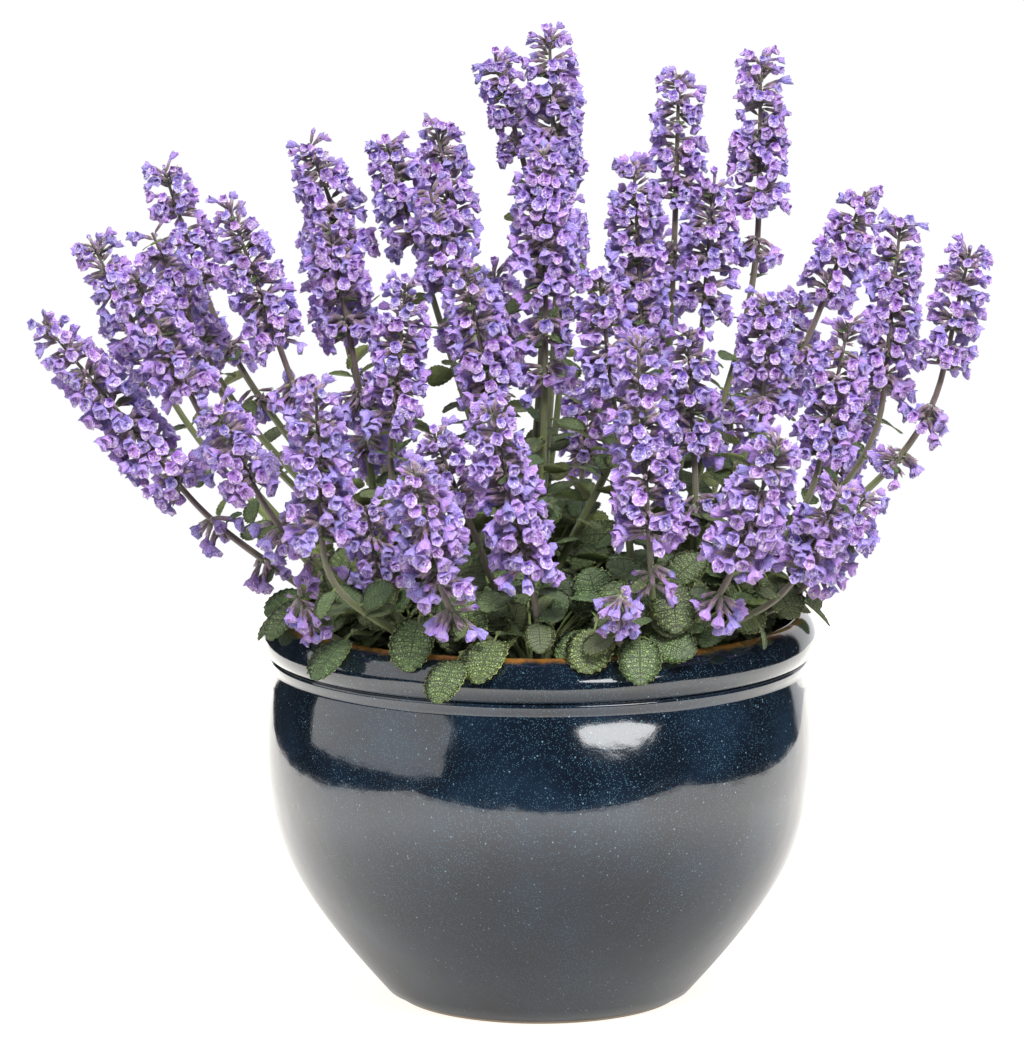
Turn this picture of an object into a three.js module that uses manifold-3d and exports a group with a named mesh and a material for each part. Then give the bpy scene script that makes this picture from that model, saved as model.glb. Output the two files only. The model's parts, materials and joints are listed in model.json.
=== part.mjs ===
// A catmint plant in full flower, growing in a round glazed pot filled with soil.
// Millimetres, +Z up. The origin is the middle of the pot's flat underside.
import * as THREE from "three";
import { mergeVertices } from "three/addons/utils/BufferGeometryUtils.js";
import Module from "manifold-3d";

const wasm = await Module();
wasm.setup();

// Driving dimensions

const touchGap = 0.4; // left between two pieces that rest on each other

const potSides = 30;
const footRadius = 77.5;
const baseThickness = 13;
const grooveRadius = 143.3; // the narrow ring under the rim
const grooveHeight = 186.5;
const lipRadius = 141;
const potHeight = 210;
// Control points of the curves of the belly and of the rolled rim, as radius and height.
const potBelly = [[83, 4], [138.4, 66.7], [159.4, 103.7], [143.7, 179]];
const potRim = [[grooveRadius, grooveHeight], [150, 188], [152.5, 204], [lipRadius, potHeight]];
const drain = { radius: 6, circle: 38, count: 3, sides: 8 };
// Inside of the pot from the lip down to the floor, as radius and height.
const potInside = [
  [136.5, 206], [135.5, 178], [140, 150], [136, 105], [112, 58], [76, baseThickness],
];

const soilSides = 16;
const soilEdgeHeight = 184;
const soilMiddle = { height: 188, radius: 84 }; // the level middle, above the sloping edge

const crownRadius = 9; // of the plain hole in the soil that a crown stands in
const crownDepth = 12;
const crownRise = 7; // how far its woody top stands out
const crownSides = 5;
const crownTaper = { root: 0.85, top: 0.62 };

const stemCircle = 6; // radius at which the stems leave a crown
const stemFan = THREE.MathUtils.degToRad(37); // between two stems there
const stemThickness = { root: 3.4, tip: 2.2 }; // across the square stem
const stemStretch = 100; // longest straight stretch
const stemBend = { reach: 0.36, rise: 0.35 }; // how far it keeps its first way, and how steep

const whorlSpacing = 17.5;
const whorlFlorets = 4;
const floret = { width: 0.42, valley: 0.7, waist: 0.52, lift: 0.16, uneven: 0.14 };
const stalkRadius = 2.6; // of a spike's bare axis between separate whorls
const separateWhorl = 0.86; // its radius, as a share of the spike's
const topNarrowing = 0.4; // how much smaller a spike is at its top
const narrowsFrom = 0.45; // share of a spike's length below that

const blade = {
  thickness: 1.7, // at the midrib, thinning to the edge
  middle: 0.46, halfLength: 0.5, halfWidth: 0.43, roundness: 0.8, // as shares of the length
  notch: 0.88, // reach of the edge between two rounded teeth
  fold: 0.16, droop: 0.22, tip: 0.97, ribEnd: 0.92,
};
const stalk = { stem: 7, crown: 17, halfWidth: 0.9 }; // lengths of a leaf's stalk
const leafLength = { shootTip: 28, crown: 27, shoot: 25, stem: 18 };
const crownLeaves = 3; // places for them round each crown
const leafPlace = { shootTip: 0.97, shoot: 0.74, stem: 0.55 }; // as shares of the stem's length
const leafyLength = 110; // of the shortest stem with a pair of leaves on it
const leafClash = 0.8; // mm3 that a leaf may share with its own clump, which it is fused to

// Crowns of the plant: where its stems come out of the soil, as x and y.
const crowns = [
  [-85, -30], [-58, -76], [-4, -88], [58, -76], [86, -18],
  [62, 58], [-4, 82], [-66, 54], [0, 0],
];

// Flowering stems: the crown each grows from (counted from 1), where its dense flower spike
// begins and ends, the spike's radius, and how far below the spike its separate whorls sit.
const floweringStems = [
  { crown: 1, from: [-188, -45, 282], to: [-268, -40, 379], radius: 20, below: [23, 57] },
  { crown: 1, from: [-202, 2, 334], to: [-243, 10, 415], radius: 19 },
  { crown: 1, from: [-183, -64, 336], to: [-216, -66, 408], radius: 18, below: [28] },
  { crown: 8, from: [-182, 50, 345], to: [-214, 60, 416], radius: 17 },
  { crown: 8, from: [-184, 92, 373], to: [-209, 105, 446], radius: 18, below: [36, 66] },
  { crown: 1, from: [-139, -15, 357], to: [-167, -10, 436], radius: 18, below: [24, 56] },
  { crown: 8, from: [-102, 74, 392], to: [-129, 84, 462], radius: 20 },
  { crown: 1, from: [-101, -5, 358], to: [-114, 0, 428], radius: 19, below: [30, 56] },
  { crown: 9, from: [-66, 50, 401], to: [-85, 60, 465], radius: 18 },
  { crown: 7, from: [-46, 112, 396], to: [-58, 128, 468], radius: 18 },
  { crown: 9, from: [-49, 5, 385], to: [-60, 10, 445], radius: 17, below: [22] },
  { crown: 9, from: [-25, -50, 330], to: [-41, -49, 411], radius: 19 },
  { crown: 7, from: [-9, 110, 443], to: [-26, 121, 504], radius: 15 },
  { crown: 7, from: [9, 62, 436], to: [5, 72, 525], radius: 19 },
  { crown: 9, from: [3, 0, 382], to: [2, 4, 466], radius: 20, below: [18, 40] },
  { crown: 2, from: [-78, -48, 316], to: [-70, -34, 399], radius: 18 },
  { crown: 6, from: [75, 90, 421], to: [77, 100, 499], radius: 17, below: [26] },
  { crown: 9, from: [55, 8, 362], to: [50, 20, 458], radius: 18 },
  { crown: 6, from: [89, 36, 368], to: [95, 44, 446], radius: 19 },
  { crown: 6, from: [119, 55, 419], to: [120, 60, 512], radius: 18, below: [17] },
  { crown: 6, from: [156, 78, 368], to: [182, 94, 434], radius: 18, below: [28] },
  { crown: 5, from: [184, -5, 328], to: [194, 10, 430], radius: 18 },
  { crown: 5, from: [213, -45, 347], to: [229, -40, 421], radius: 17, below: [22, 52] },
  { crown: 5, from: [117, -58, 328], to: [119, -54, 396], radius: 18 },
  { crown: 5, from: [147, -78, 305], to: [163, -73, 385], radius: 19 },
  { crown: 4, from: [39, -60, 330], to: [30, -55, 406], radius: 18 },
  { crown: 4, from: [56, -136, 272], to: [49, -128, 384], radius: 20, below: [18] },
  { crown: 5, from: [82, -36, 300], to: [78, -22, 374], radius: 18, below: [26] },
  { crown: 4, from: [100, -148, 262], to: [124, -178, 338], radius: 20, below: [24] },
  { crown: 5, from: [144, -90, 246], to: [174, -106, 296], radius: 19 },
  { crown: 4, from: [134, -127, 254], to: [158, -145, 306], radius: 19 },
  { crown: 2, from: [-148, -100, 292], to: [-172, -108, 343], radius: 19, below: [26, 50] },
  { crown: 2, from: [-112, -145, 272], to: [-115, -152, 362], radius: 20 },
  { crown: 2, from: [-82, -104, 242], to: [-92, -112, 294], radius: 17 },
  { crown: 3, from: [-51, -160, 252], to: [-66, -196, 325], radius: 20, below: [18] },
  { crown: 3, from: [-6, -142, 256], to: [-28, -158, 352], radius: 20 },
  { crown: 3, from: [-40, -96, 282], to: [-58, -98, 328], radius: 16 },
  { crown: 2, from: [-116, -106, 222], to: [-129, -117, 242], radius: 13 },
  { crown: 4, from: [40, -152, 232], to: [42, -168, 254], radius: 15 },
  { crown: 8, from: [-182, 130, 322], to: [-207, 150, 388], radius: 18 },
  { crown: 8, from: [-110, 158, 345], to: [-126, 182, 412], radius: 18 },
  { crown: 7, from: [-22, 182, 312], to: [-25, 208, 376], radius: 18 },
  { crown: 7, from: [14, 178, 345], to: [14, 205, 418], radius: 18 },
  { crown: 7, from: [60, 172, 325], to: [68, 198, 398], radius: 18 },
  { crown: 6, from: [132, 146, 300], to: [150, 168, 366], radius: 18 },
  { crown: 8, from: [-88, 190, 256], to: [-98, 226, 308], radius: 18 },
  { crown: 7, from: [26, 204, 256], to: [30, 240, 306], radius: 18 },
  { crown: 6, from: [104, 186, 258], to: [118, 218, 308], radius: 18 },
  { crown: 5, from: [160, 78, 262], to: [182, 94, 322], radius: 18 },
];

// Leafy shoots without flowers at the front: their crown and where they end, above the rim.
const frontShoots = [
  { crown: 3, end: [-41, -135, 212] },
  { crown: 3, end: [-22, -127, 221] },
  { crown: 2, end: [-62, -115, 230] },
  { crown: 4, end: [29, -127, 228] },
  { crown: 4, end: [51, -133, 223] },
  { crown: 4, end: [66, -110, 250] },
  { crown: 2, end: [-98, -101, 217] },
  { crown: 1, end: [-122, -68, 231] },
  { crown: 5, end: [137, -62, 265] },
  { crown: 5, end: [117, -78, 246] },
];
// The others stand round the sides and back, one at each of these angles in degrees.
const sideShoots = { angles: [-4, 26, 56, 84, 112, 140, 170, 198], radius: 131, height: 224 };

const looks = {
  glaze: { color: 0x16283c, roughness: 0.12, metalness: 0 },
  soil: { color: 0x3b2c20, roughness: 0.95, metalness: 0 },
  foliage: { color: 0x52693c, roughness: 0.7, metalness: 0 },
  flowers: { color: 0x8670cc, roughness: 0.6, metalness: 0 },
};

// Directions and chance

const up = new THREE.Vector3(0, 0, 1);
const away = new THREE.Vector3(0, 1, 0); // no stem runs along this, so it squares them up

const vector = ([x, y, z]) => new THREE.Vector3(x, y, z);
const mixed = (a, b, share) => a.clone().lerp(b, share).normalize();
const outwardAt = (angle) => new THREE.Vector3(Math.cos(angle), Math.sin(angle), 0);

// Two directions square to a stem and to each other.
function squareTo(direction) {
  const side = new THREE.Vector3().crossVectors(away, direction).normalize();
  return [side, new THREE.Vector3().crossVectors(direction, side)];
}

// The same value between 0 and 1 each time for the same number.
function scatter(number) {
  const wide = Math.sin(number * 12.9898) * 43758.5453;
  return wide - Math.floor(wide);
}

// Solids

function toSolid(geometry) {
  const bare = geometry.clone();
  bare.deleteAttribute("normal");
  bare.deleteAttribute("uv");
  const merged = mergeVertices(bare, 1e-3);
  return new wasm.Manifold(new wasm.Mesh({
    numProp: 3,
    vertProperties: merged.attributes.position.array,
    triVerts: new Uint32Array(merged.index.array),
  }));
}

function toGeometry(solid) {
  const mesh = solid.getMesh();
  const geometry = new THREE.BufferGeometry();
  geometry.setAttribute("position", new THREE.BufferAttribute(mesh.vertProperties, 3));
  geometry.setIndex(new THREE.BufferAttribute(mesh.triVerts, 1));
  geometry.computeVertexNormals();
  return geometry;
}

function solidFrom(points, triangles) {
  const geometry = new THREE.BufferGeometry().setFromPoints(points);
  geometry.setIndex(triangles.flat());
  return toSolid(geometry);
}

// A closed body through rings of points, all with the same number and turning left about its run.
function loft(rings) {
  const sides = rings[0].length;
  const triangles = [];
  for (let ring = 0; ring + 1 < rings.length; ring++) {
    for (let side = 0; side < sides; side++) {
      const next = (side + 1) % sides;
      const [a, b] = [ring * sides + side, ring * sides + next];
      triangles.push([a, b, b + sides], [a, b + sides, a + sides]);
    }
  }
  const last = (rings.length - 1) * sides;
  for (let side = 1; side + 1 < sides; side++) {
    triangles.push([0, side + 1, side], [last, last + side, last + side + 1]);
  }
  return solidFrom(rings.flat(), triangles);
}

function turned(profile, sides) {
  const points = profile.map(([radius, height]) => new THREE.Vector2(radius, height));
  return toSolid(new THREE.LatheGeometry(points, sides).rotateX(Math.PI / 2));
}

function uprightCylinder(radius, bottom, top, sides, x, y) {
  const geometry = new THREE.CylinderGeometry(radius, radius, top - bottom, sides);
  geometry.rotateX(Math.PI / 2).translate(x, y, (top + bottom) / 2);
  return toSolid(geometry);
}

// Pot and soil

// Points along a curve through four control points of the profile.
function profileCurve(controls, steps) {
  const curve = new THREE.CubicBezierCurve(...controls.map(([x, y]) => new THREE.Vector2(x, y)));
  return curve.getPoints(steps).map((point) => [point.x, point.y]);
}

function makePot() {
  const profile = [
    [0, 0], [footRadius, 0], ...profileCurve(potBelly, 6), ...profileCurve(potRim, 4),
    ...potInside, [0, baseThickness],
  ];
  const holes = Array.from({ length: drain.count }, (_, hole) => {
    const place = outwardAt((hole / drain.count) * 2 * Math.PI).multiplyScalar(drain.circle);
    return uprightCylinder(
      drain.radius, -baseThickness, 2 * baseThickness, drain.sides, place.x, place.y);
  });
  return turned(profile, potSides).subtract(wasm.Manifold.union(holes));
}

function makeSoil() {
  // The soil's sides are fewer and flatter than the wall's, so they stay just inside it.
  const inner = (radius) => radius * Math.cos(Math.PI / potSides) - touchGap;
  const [, neck, shoulder, waist, hip, floor] = potInside;
  const profile = [
    [0, baseThickness + touchGap],
    [inner(floor[0]) - touchGap, baseThickness + touchGap],
    ...[hip, waist, shoulder, neck].map(([radius, height]) => [inner(radius), height]),
    [inner(neck[0]), soilEdgeHeight],
    [soilMiddle.radius, soilMiddle.height],
    [0, soilMiddle.height],
  ];
  const holes = crowns.map(([x, y]) => uprightCylinder(
    crownRadius + touchGap, soilMiddle.height - crownDepth, potHeight, crownSides, x, y));
  return turned(profile, soilSides).subtract(wasm.Manifold.union(holes));
}

// Crowns and stems

function makeCrown([x, y]) {
  const ring = (radius, height) => Array.from({ length: crownSides }, (_, side) =>
    outwardAt((side / crownSides) * 2 * Math.PI).multiplyScalar(radius)
      .add(new THREE.Vector3(x, y, height)));
  return loft([
    ring(crownRadius * crownTaper.root, soilMiddle.height - crownDepth + touchGap),
    ring(crownRadius * crownTaper.root, soilMiddle.height + 1),
    ring(crownRadius * crownTaper.top, soilMiddle.height + crownRise),
  ]);
}

// Where stems leave their crown: side by side, in the order of the ways that they lean.
function crownStarts([x, y], ends) {
  const middle = ends.reduce((sum, end) => sum.add(end), new THREE.Vector3());
  const middleAngle = Math.atan2(middle.y - y * ends.length, middle.x - x * ends.length);
  const lean = (end) => {
    const angle = Math.atan2(end.y - y, end.x - x) - middleAngle;
    return Math.atan2(Math.sin(angle), Math.cos(angle));
  };
  const order = ends.map((_, index) => index).sort((a, b) => lean(ends[a]) - lean(ends[b]));
  return ends.map((_, index) => {
    const angle = middleAngle + (order.indexOf(index) - (ends.length - 1) / 2) * stemFan;
    return outwardAt(angle).multiplyScalar(stemCircle)
      .add(new THREE.Vector3(x, y, soilMiddle.height + 2));
  });
}

// The line of a stem: it leaves its crown rising and ends along its spike's own line.
function stemCurve(start, end, endDirection) {
  const reach = start.distanceTo(end) * stemBend.reach;
  const leaving = mixed(end.clone().sub(start).normalize(), up, stemBend.rise);
  return new THREE.CubicBezierCurve3(
    start,
    start.clone().addScaledVector(leaving, reach),
    end.clone().addScaledVector(endDirection, -reach),
    end,
  );
}

// Corners of the square stem at a place on its line.
function squareRing(place, direction, thickness) {
  const [side, front] = squareTo(direction);
  const reach = thickness * Math.SQRT1_2;
  return [[1, 0], [0, 1], [-1, 0], [0, -1]].map(([a, b]) =>
    place.clone().addScaledVector(side, a * reach).addScaledVector(front, b * reach));
}

// A stem in straight stretches along its curve, up to a distance short of the curve's end.
function makeStem(curve, stopShort) {
  const length = curve.getLength();
  const end = 1 - stopShort / length;
  const steps = Math.max(2, Math.ceil((length - stopShort) / stemStretch));
  const line = new THREE.CurvePath();
  const rings = [];
  let last = null;
  for (let step = 0; step <= steps; step++) {
    const share = (step / steps) * end;
    const place = curve.getPointAt(share);
    const thickness = THREE.MathUtils.lerp(stemThickness.root, stemThickness.tip, share);
    rings.push(squareRing(place, curve.getTangentAt(share), thickness));
    if (last) line.add(new THREE.LineCurve3(last, place));
    last = place;
  }
  return { line, body: loft(rings) };
}

// Flower spikes

// A whorl's share of the spike's full radius, narrowing over the upper part of the spike.
const spikeTaper = (share) =>
  1 - topNarrowing * Math.max(0, (share - narrowsFrom) / (1 - narrowsFrom)) ** 1.4;

// Whorls of a spike as distance along the stem's whole line and radius, from the lowest up.
function whorlsOf({ radius, below = [] }, bottomAt, length) {
  const count = Math.max(2, Math.round(length / whorlSpacing));
  const spacing = length / count;
  const dense = Array.from({ length: count }, (_, index) => ({
    at: bottomAt + (index + 0.5) * spacing,
    radius: radius * spikeTaper((index + 0.5) / count),
    spacing,
    apart: false,
  }));
  const separate = below.map((distance) => ({
    at: bottomAt - distance, radius: radius * separateWhorl, spacing: whorlSpacing, apart: true,
  }));
  return [...separate.reverse(), ...dense];
}

// One closed body: each whorl is a ring of broad florets that stand out and up from the axis,
// turned by half a floret from the whorl below it.
function makeSpike(path, whorls, number) {
  const points = [];
  const triangles = [];
  const halfTurn = Math.PI / whorlFlorets;
  const places = Array.from({ length: whorlFlorets }, (_, place) => place);
  const before = (list, index) => list[(index + whorlFlorets - 1) % whorlFlorets];
  const after = (list, index) => list[(index + 1) % whorlFlorets];

  function addPoint(at, angle, radius) {
    const share = THREE.MathUtils.clamp(at / path.getLength(), 0, 1);
    const [side, front] = squareTo(path.getTangentAt(share));
    points.push(path.getPointAt(share)
      .addScaledVector(side, radius * Math.cos(angle))
      .addScaledVector(front, radius * Math.sin(angle)));
    return points.length - 1;
  }
  const addRing = (at, firstAngle, radius) =>
    places.map((place) => addPoint(at, firstAngle + 2 * place * halfTurn, radius));

  let firstAngle = number;
  let inner = addRing(whorls[0].at - whorls[0].spacing / 2, firstAngle, stalkRadius);
  triangles.push([inner[0], inner[2], inner[1]], [inner[0], inner[3], inner[2]]);

  whorls.forEach(({ at, radius, spacing, apart }, index) => {
    const left = [];
    const right = [];
    const valley = [];
    for (const place of places) {
      const angle = firstAngle + 2 * place * halfTurn;
      const long = scatter(number * 97 + index * 11 + place) - 0.5;
      const reach = radius * (1 + floret.uneven * long);
      const lift = spacing * (floret.lift + 0.1 * scatter(number * 31 + index * 7 + place));
      left.push(addPoint(at + lift, angle - halfTurn * floret.width, reach));
      right.push(addPoint(at + lift, angle + halfTurn * floret.width, reach));
      valley.push(addPoint(at + spacing * 0.08, angle + halfTurn, radius * floret.valley));
    }
    const next = whorls[index + 1];
    const waist = !next || next.apart || apart ? stalkRadius : radius * floret.waist;
    const upper = addRing(at + spacing / 2, firstAngle + halfTurn, waist);
    for (const i of places) {
      triangles.push(
        [before(valley, i), inner[i], left[i]], [left[i], inner[i], right[i]],
        [right[i], inner[i], valley[i]], [valley[i], inner[i], after(inner, i)],
        [before(valley, i), left[i], before(upper, i)], [left[i], right[i], before(upper, i)],
        [right[i], upper[i], before(upper, i)], [right[i], valley[i], upper[i]],
      );
    }
    firstAngle += halfTurn;
    inner = upper;
    if (next && next.at - next.spacing / 2 > at + spacing / 2 + 1) {
      inner = addRing(next.at - next.spacing / 2, firstAngle, stalkRadius);
      for (const i of places) {
        triangles.push([upper[i], after(upper, i), after(inner, i)],
          [upper[i], after(inner, i), inner[i]]);
      }
    }
  });
  const tip = addPoint(path.getLength(), 0, 0);
  for (const i of places) triangles.push([inner[i], after(inner, i), tip]);
  return solidFrom(points, triangles);
}

// Leaves

// Triangles between the midrib and an edge of a blade, which end in the same point.
function bladeHalf(rib, edge) {
  const triangles = [];
  let [r, e] = [0, 0];
  while (r + 1 < rib.length || e + 1 < edge.length) {
    const edgeNext = r + 1 === rib.length || (e + 1 < edge.length
      && (e + 1) / (edge.length - 1) <= (r + 0.75) / (rib.length - 1));
    const corners = edgeNext ? [rib[r], edge[e + 1], edge[e]] : [rib[r], rib[r + 1], edge[e]];
    if (new Set(corners).size === 3) triangles.push(corners);
    if (edgeNext) e++;
    else r++;
  }
  return triangles;
}

// A round-toothed, slightly folded blade on its stalk. The stalk's root is at the place given;
// teeth counts the rounded teeth on each side and ribs the joints of its midrib. Its underside
// is flat from the stalk to the tip along the middle.
function makeLeaf({ root, direction, face, length, teeth, ribs, stalkLength }) {
  const forward = direction.clone().normalize();
  const side = new THREE.Vector3().crossVectors(face, forward).normalize();
  const normal = new THREE.Vector3().crossVectors(forward, side);
  const at = (x, y, z) => root.clone().addScaledVector(forward, x + stalkLength)
    .addScaledVector(side, y).addScaledVector(normal, z);
  const onBlade = (x, y, lift) =>
    at(x, y, lift + blade.fold * Math.abs(y) - (blade.droop * x * x) / length);

  const points = [];
  const add = (point) => points.push(point) - 1;
  const half = blade.thickness / 2;
  const foot = [at(-stalkLength, 1, 0), at(-stalkLength, 0, 1), at(-stalkLength, -1, 0),
    at(-stalkLength, 0, -1)].map(add);
  const leftEdge = [add(at(0, stalk.halfWidth, 0))];
  const rightEdge = [add(at(0, -stalk.halfWidth, 0))];
  const topRib = [add(at(0, 0, half))];
  const underRib = [add(at(0, 0, -half))];
  const collar = [leftEdge[0], topRib[0], rightEdge[0], underRib[0]];
  const edges = teeth * 2 + 1;
  for (let edge = 1; edge < edges; edge++) {
    const angle = (edge / edges) * Math.PI;
    const tooth = length * (edge % 2 ? 1 : blade.notch);
    const x = length * blade.middle - blade.halfLength * tooth * Math.cos(angle);
    const y = blade.halfWidth * tooth * Math.sin(angle) ** blade.roundness;
    leftEdge.push(add(onBlade(x, y, 0)));
    rightEdge.push(add(onBlade(x, -y, 0)));
  }
  for (let rib = 1; rib <= ribs; rib++) {
    const x = length * (rib / (ribs + 1)) * blade.ribEnd;
    topRib.push(add(onBlade(x, 0, half)));
  }
  const tip = add(onBlade(length * blade.tip, 0, 0));
  for (const list of [leftEdge, rightEdge, topRib, underRib]) list.push(tip);

  const reversed = (corners) => [...corners].reverse();
  const triangles = [
    ...bladeHalf(topRib, leftEdge), ...bladeHalf(topRib, rightEdge).map(reversed),
    ...bladeHalf(underRib, leftEdge).map(reversed), ...bladeHalf(underRib, rightEdge),
    [foot[0], foot[2], foot[1]], [foot[0], foot[3], foot[2]],
  ];
  for (let i = 0; i < 4; i++) {
    const j = (i + 1) % 4;
    triangles.push([foot[i], foot[j], collar[j]], [foot[i], collar[j], collar[i]]);
  }
  return solidFrom(points, triangles);
}

// Assembly

const plant = new THREE.Group();

function addNode(name, solid, look) {
  const mesh = new THREE.Mesh(toGeometry(solid), new THREE.MeshStandardMaterial(look));
  mesh.name = name;
  plant.add(mesh);
}

const standing = []; // every solid so far, with its node
const stand = (node, solid) => standing.push({ node, solid, box: solid.boundingBox() });
const boxesMeet = (a, b) => [0, 1, 2].every((i) => a.min[i] < b.max[i] && b.min[i] < a.max[i]);

// A leaf is clear where it meets no other node, and little of its own apart from its root.
function isClear(node, grownFrom, solid) {
  const box = solid.boundingBox();
  return !standing.some((other) => other.solid !== grownFrom && boxesMeet(box, other.box)
    && solid.intersect(other.solid).volume() > (other.node === node ? leafClash : 1e-3));
}

const pot = makePot();
const soil = makeSoil();
stand("pot", pot);
stand("soil", soil);

const clumps = crowns.map((place, index) => {
  const node = `leafy_clump_${index + 1}`;
  const crown = makeCrown(place);
  stand(node, crown);
  return { node, crown, solids: [crown], stems: [] };
});

function growStem(clump, { line, body }, number, isShoot) {
  clump.solids.push(body);
  clump.stems.push({ line, body, number, isShoot });
  stand(clump.node, body);
}

function nearestCrown(point) {
  const distances = crowns.map(([x, y]) => Math.hypot(point.x - x, point.y - y));
  return distances.indexOf(Math.min(...distances)) + 1;
}

const shoots = [...frontShoots, ...sideShoots.angles.map((degrees) => {
  const end = outwardAt(THREE.MathUtils.degToRad(degrees)).multiplyScalar(sideShoots.radius)
    .setZ(sideShoots.height);
  return { crown: nearestCrown(end), end: end.toArray() };
})];

// The start of every flowering stem and then every shoot.
const starts = [];
crowns.forEach((place, crown) => {
  const own = [...floweringStems, ...shoots].map((each, index) => ({ ...each, index }))
    .filter((each) => each.crown === crown + 1);
  const ends = own.map((each) => vector(each.from ?? each.end));
  crownStarts(place, ends).forEach((start, order) => {
    starts[own[order].index] = start;
  });
});

const spikes = floweringStems.map((stem, index) => {
  const number = index + 1;
  const [from, to] = [vector(stem.from), vector(stem.to)];
  const spikeLine = new THREE.LineCurve3(from, to);
  const curve = stemCurve(starts[index], from, spikeLine.getTangentAt(0));
  const path = new THREE.CurvePath();
  path.add(curve);
  path.add(spikeLine);
  const whorls = whorlsOf(stem, curve.getLength(), spikeLine.getLength());
  const spikeStart = whorls[0].at - whorls[0].spacing / 2;
  const bareStem = makeStem(curve, curve.getLength() - spikeStart + touchGap);
  growStem(clumps[stem.crown - 1], bareStem, number, false);
  const node = `flower_spike_${String(number).padStart(2, "0")}`;
  const solid = makeSpike(path, whorls, number);
  stand(node, solid);
  return { node, solid };
});

shoots.forEach((shoot, index) => {
  const number = floweringStems.length + index + 1;
  const end = vector(shoot.end);
  const outward = end.clone().setZ(0).normalize();
  const curve = stemCurve(starts[number - 1], end, mixed(outward, up, 0.12));
  growStem(clumps[shoot.crown - 1], makeStem(curve, 0), number, true);
});

function addLeaf(clump, grownFrom, leaf) {
  const solid = makeLeaf(leaf);
  if (!isClear(clump.node, grownFrom, solid)) return false;
  clump.solids.push(solid);
  stand(clump.node, solid);
  return true;
}

// The leaf at the end of a shoot hangs out over the rim.
function addShootTip(clump, stem) {
  const outward = stem.line.getTangentAt(1).setZ(0).normalize();
  addLeaf(clump, stem.body, {
    root: stem.line.getPointAt(leafPlace.shootTip),
    direction: outward.clone().addScaledVector(up, -0.45 - 0.5 * scatter(stem.number)),
    face: up.clone().addScaledVector(outward, 0.5),
    length: leafLength.shootTip, teeth: 4, ribs: 1, stalkLength: stalk.stem,
  });
}

// The largest leaves stand on long stalks round the crown and cover the soil.
function addCrownLeaf(clump, index, leaf) {
  const [x, y] = crowns[index];
  for (const turn of [0, 0.35, -0.35]) {
    const outward = outwardAt(index * 1.1 + (leaf / crownLeaves) * 2 * Math.PI + turn);
    const made = addLeaf(clump, clump.crown, {
      root: new THREE.Vector3(x, y, soilMiddle.height + 4).addScaledVector(outward, 2),
      direction: outward.clone().addScaledVector(up, 0.35 + 0.55 * scatter(index * 17 + leaf)),
      face: up.clone().addScaledVector(outward, -0.2),
      length: leafLength.crown, teeth: 3, ribs: 1, stalkLength: stalk.crown,
    });
    if (made) return;
  }
}

// Leaves stand in pairs across a stem and lean out from it, each turned to where it is clear.
function addPair(clump, stem, share, length, pair) {
  const direction = stem.line.getTangentAt(share);
  const [side, front] = squareTo(direction);
  for (const half of [0, 1]) {
    const size = length * (0.92 + 0.16 * scatter(stem.number * 13 + pair * 5 + half));
    const angle = stem.number * 1.3 + (pair / 2 + half) * Math.PI;
    for (const turn of [0, 0.5, -0.5, 1, -1]) {
      const outward = side.clone().multiplyScalar(Math.cos(angle + turn))
        .addScaledVector(front, Math.sin(angle + turn));
      const rise = 0.25 * scatter(stem.number * 7 + pair + half);
      const made = addLeaf(clump, stem.body, {
        root: stem.line.getPointAt(share),
        direction: outward.clone().addScaledVector(direction, 0.35).addScaledVector(up, rise),
        face: direction.clone().addScaledVector(up, 0.6).addScaledVector(outward, -0.3),
        length: size, teeth: size > leafLength.stem ? 3 : 2, ribs: 1, stalkLength: stalk.stem,
      });
      if (made) break;
    }
  }
}

for (const clump of clumps) {
  for (const stem of clump.stems.filter((each) => each.isShoot)) addShootTip(clump, stem);
}
clumps.forEach((clump, index) => {
  for (let leaf = 0; leaf < crownLeaves; leaf++) addCrownLeaf(clump, index, leaf);
});
for (const clump of clumps) {
  for (const stem of clump.stems) {
    if (stem.isShoot) {
      addPair(clump, stem, leafPlace.shoot, leafLength.shoot, 1);
    } else if (stem.line.getLength() > leafyLength && stem.number % 3 === 0) {
      addPair(clump, stem, leafPlace.stem, leafLength.stem, 2);
    }
  }
}

addNode("pot", pot, looks.glaze);
addNode("soil", soil, looks.soil);
for (const clump of clumps) addNode(clump.node, wasm.Manifold.union(clump.solids), looks.foliage);
for (const spike of spikes) addNode(spike.node, spike.solid, looks.flowers);

export default plant;
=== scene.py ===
import bisect
import json
import math

import bmesh
import bpy
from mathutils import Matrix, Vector, noise
from mathutils.kdtree import KDTree

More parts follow.
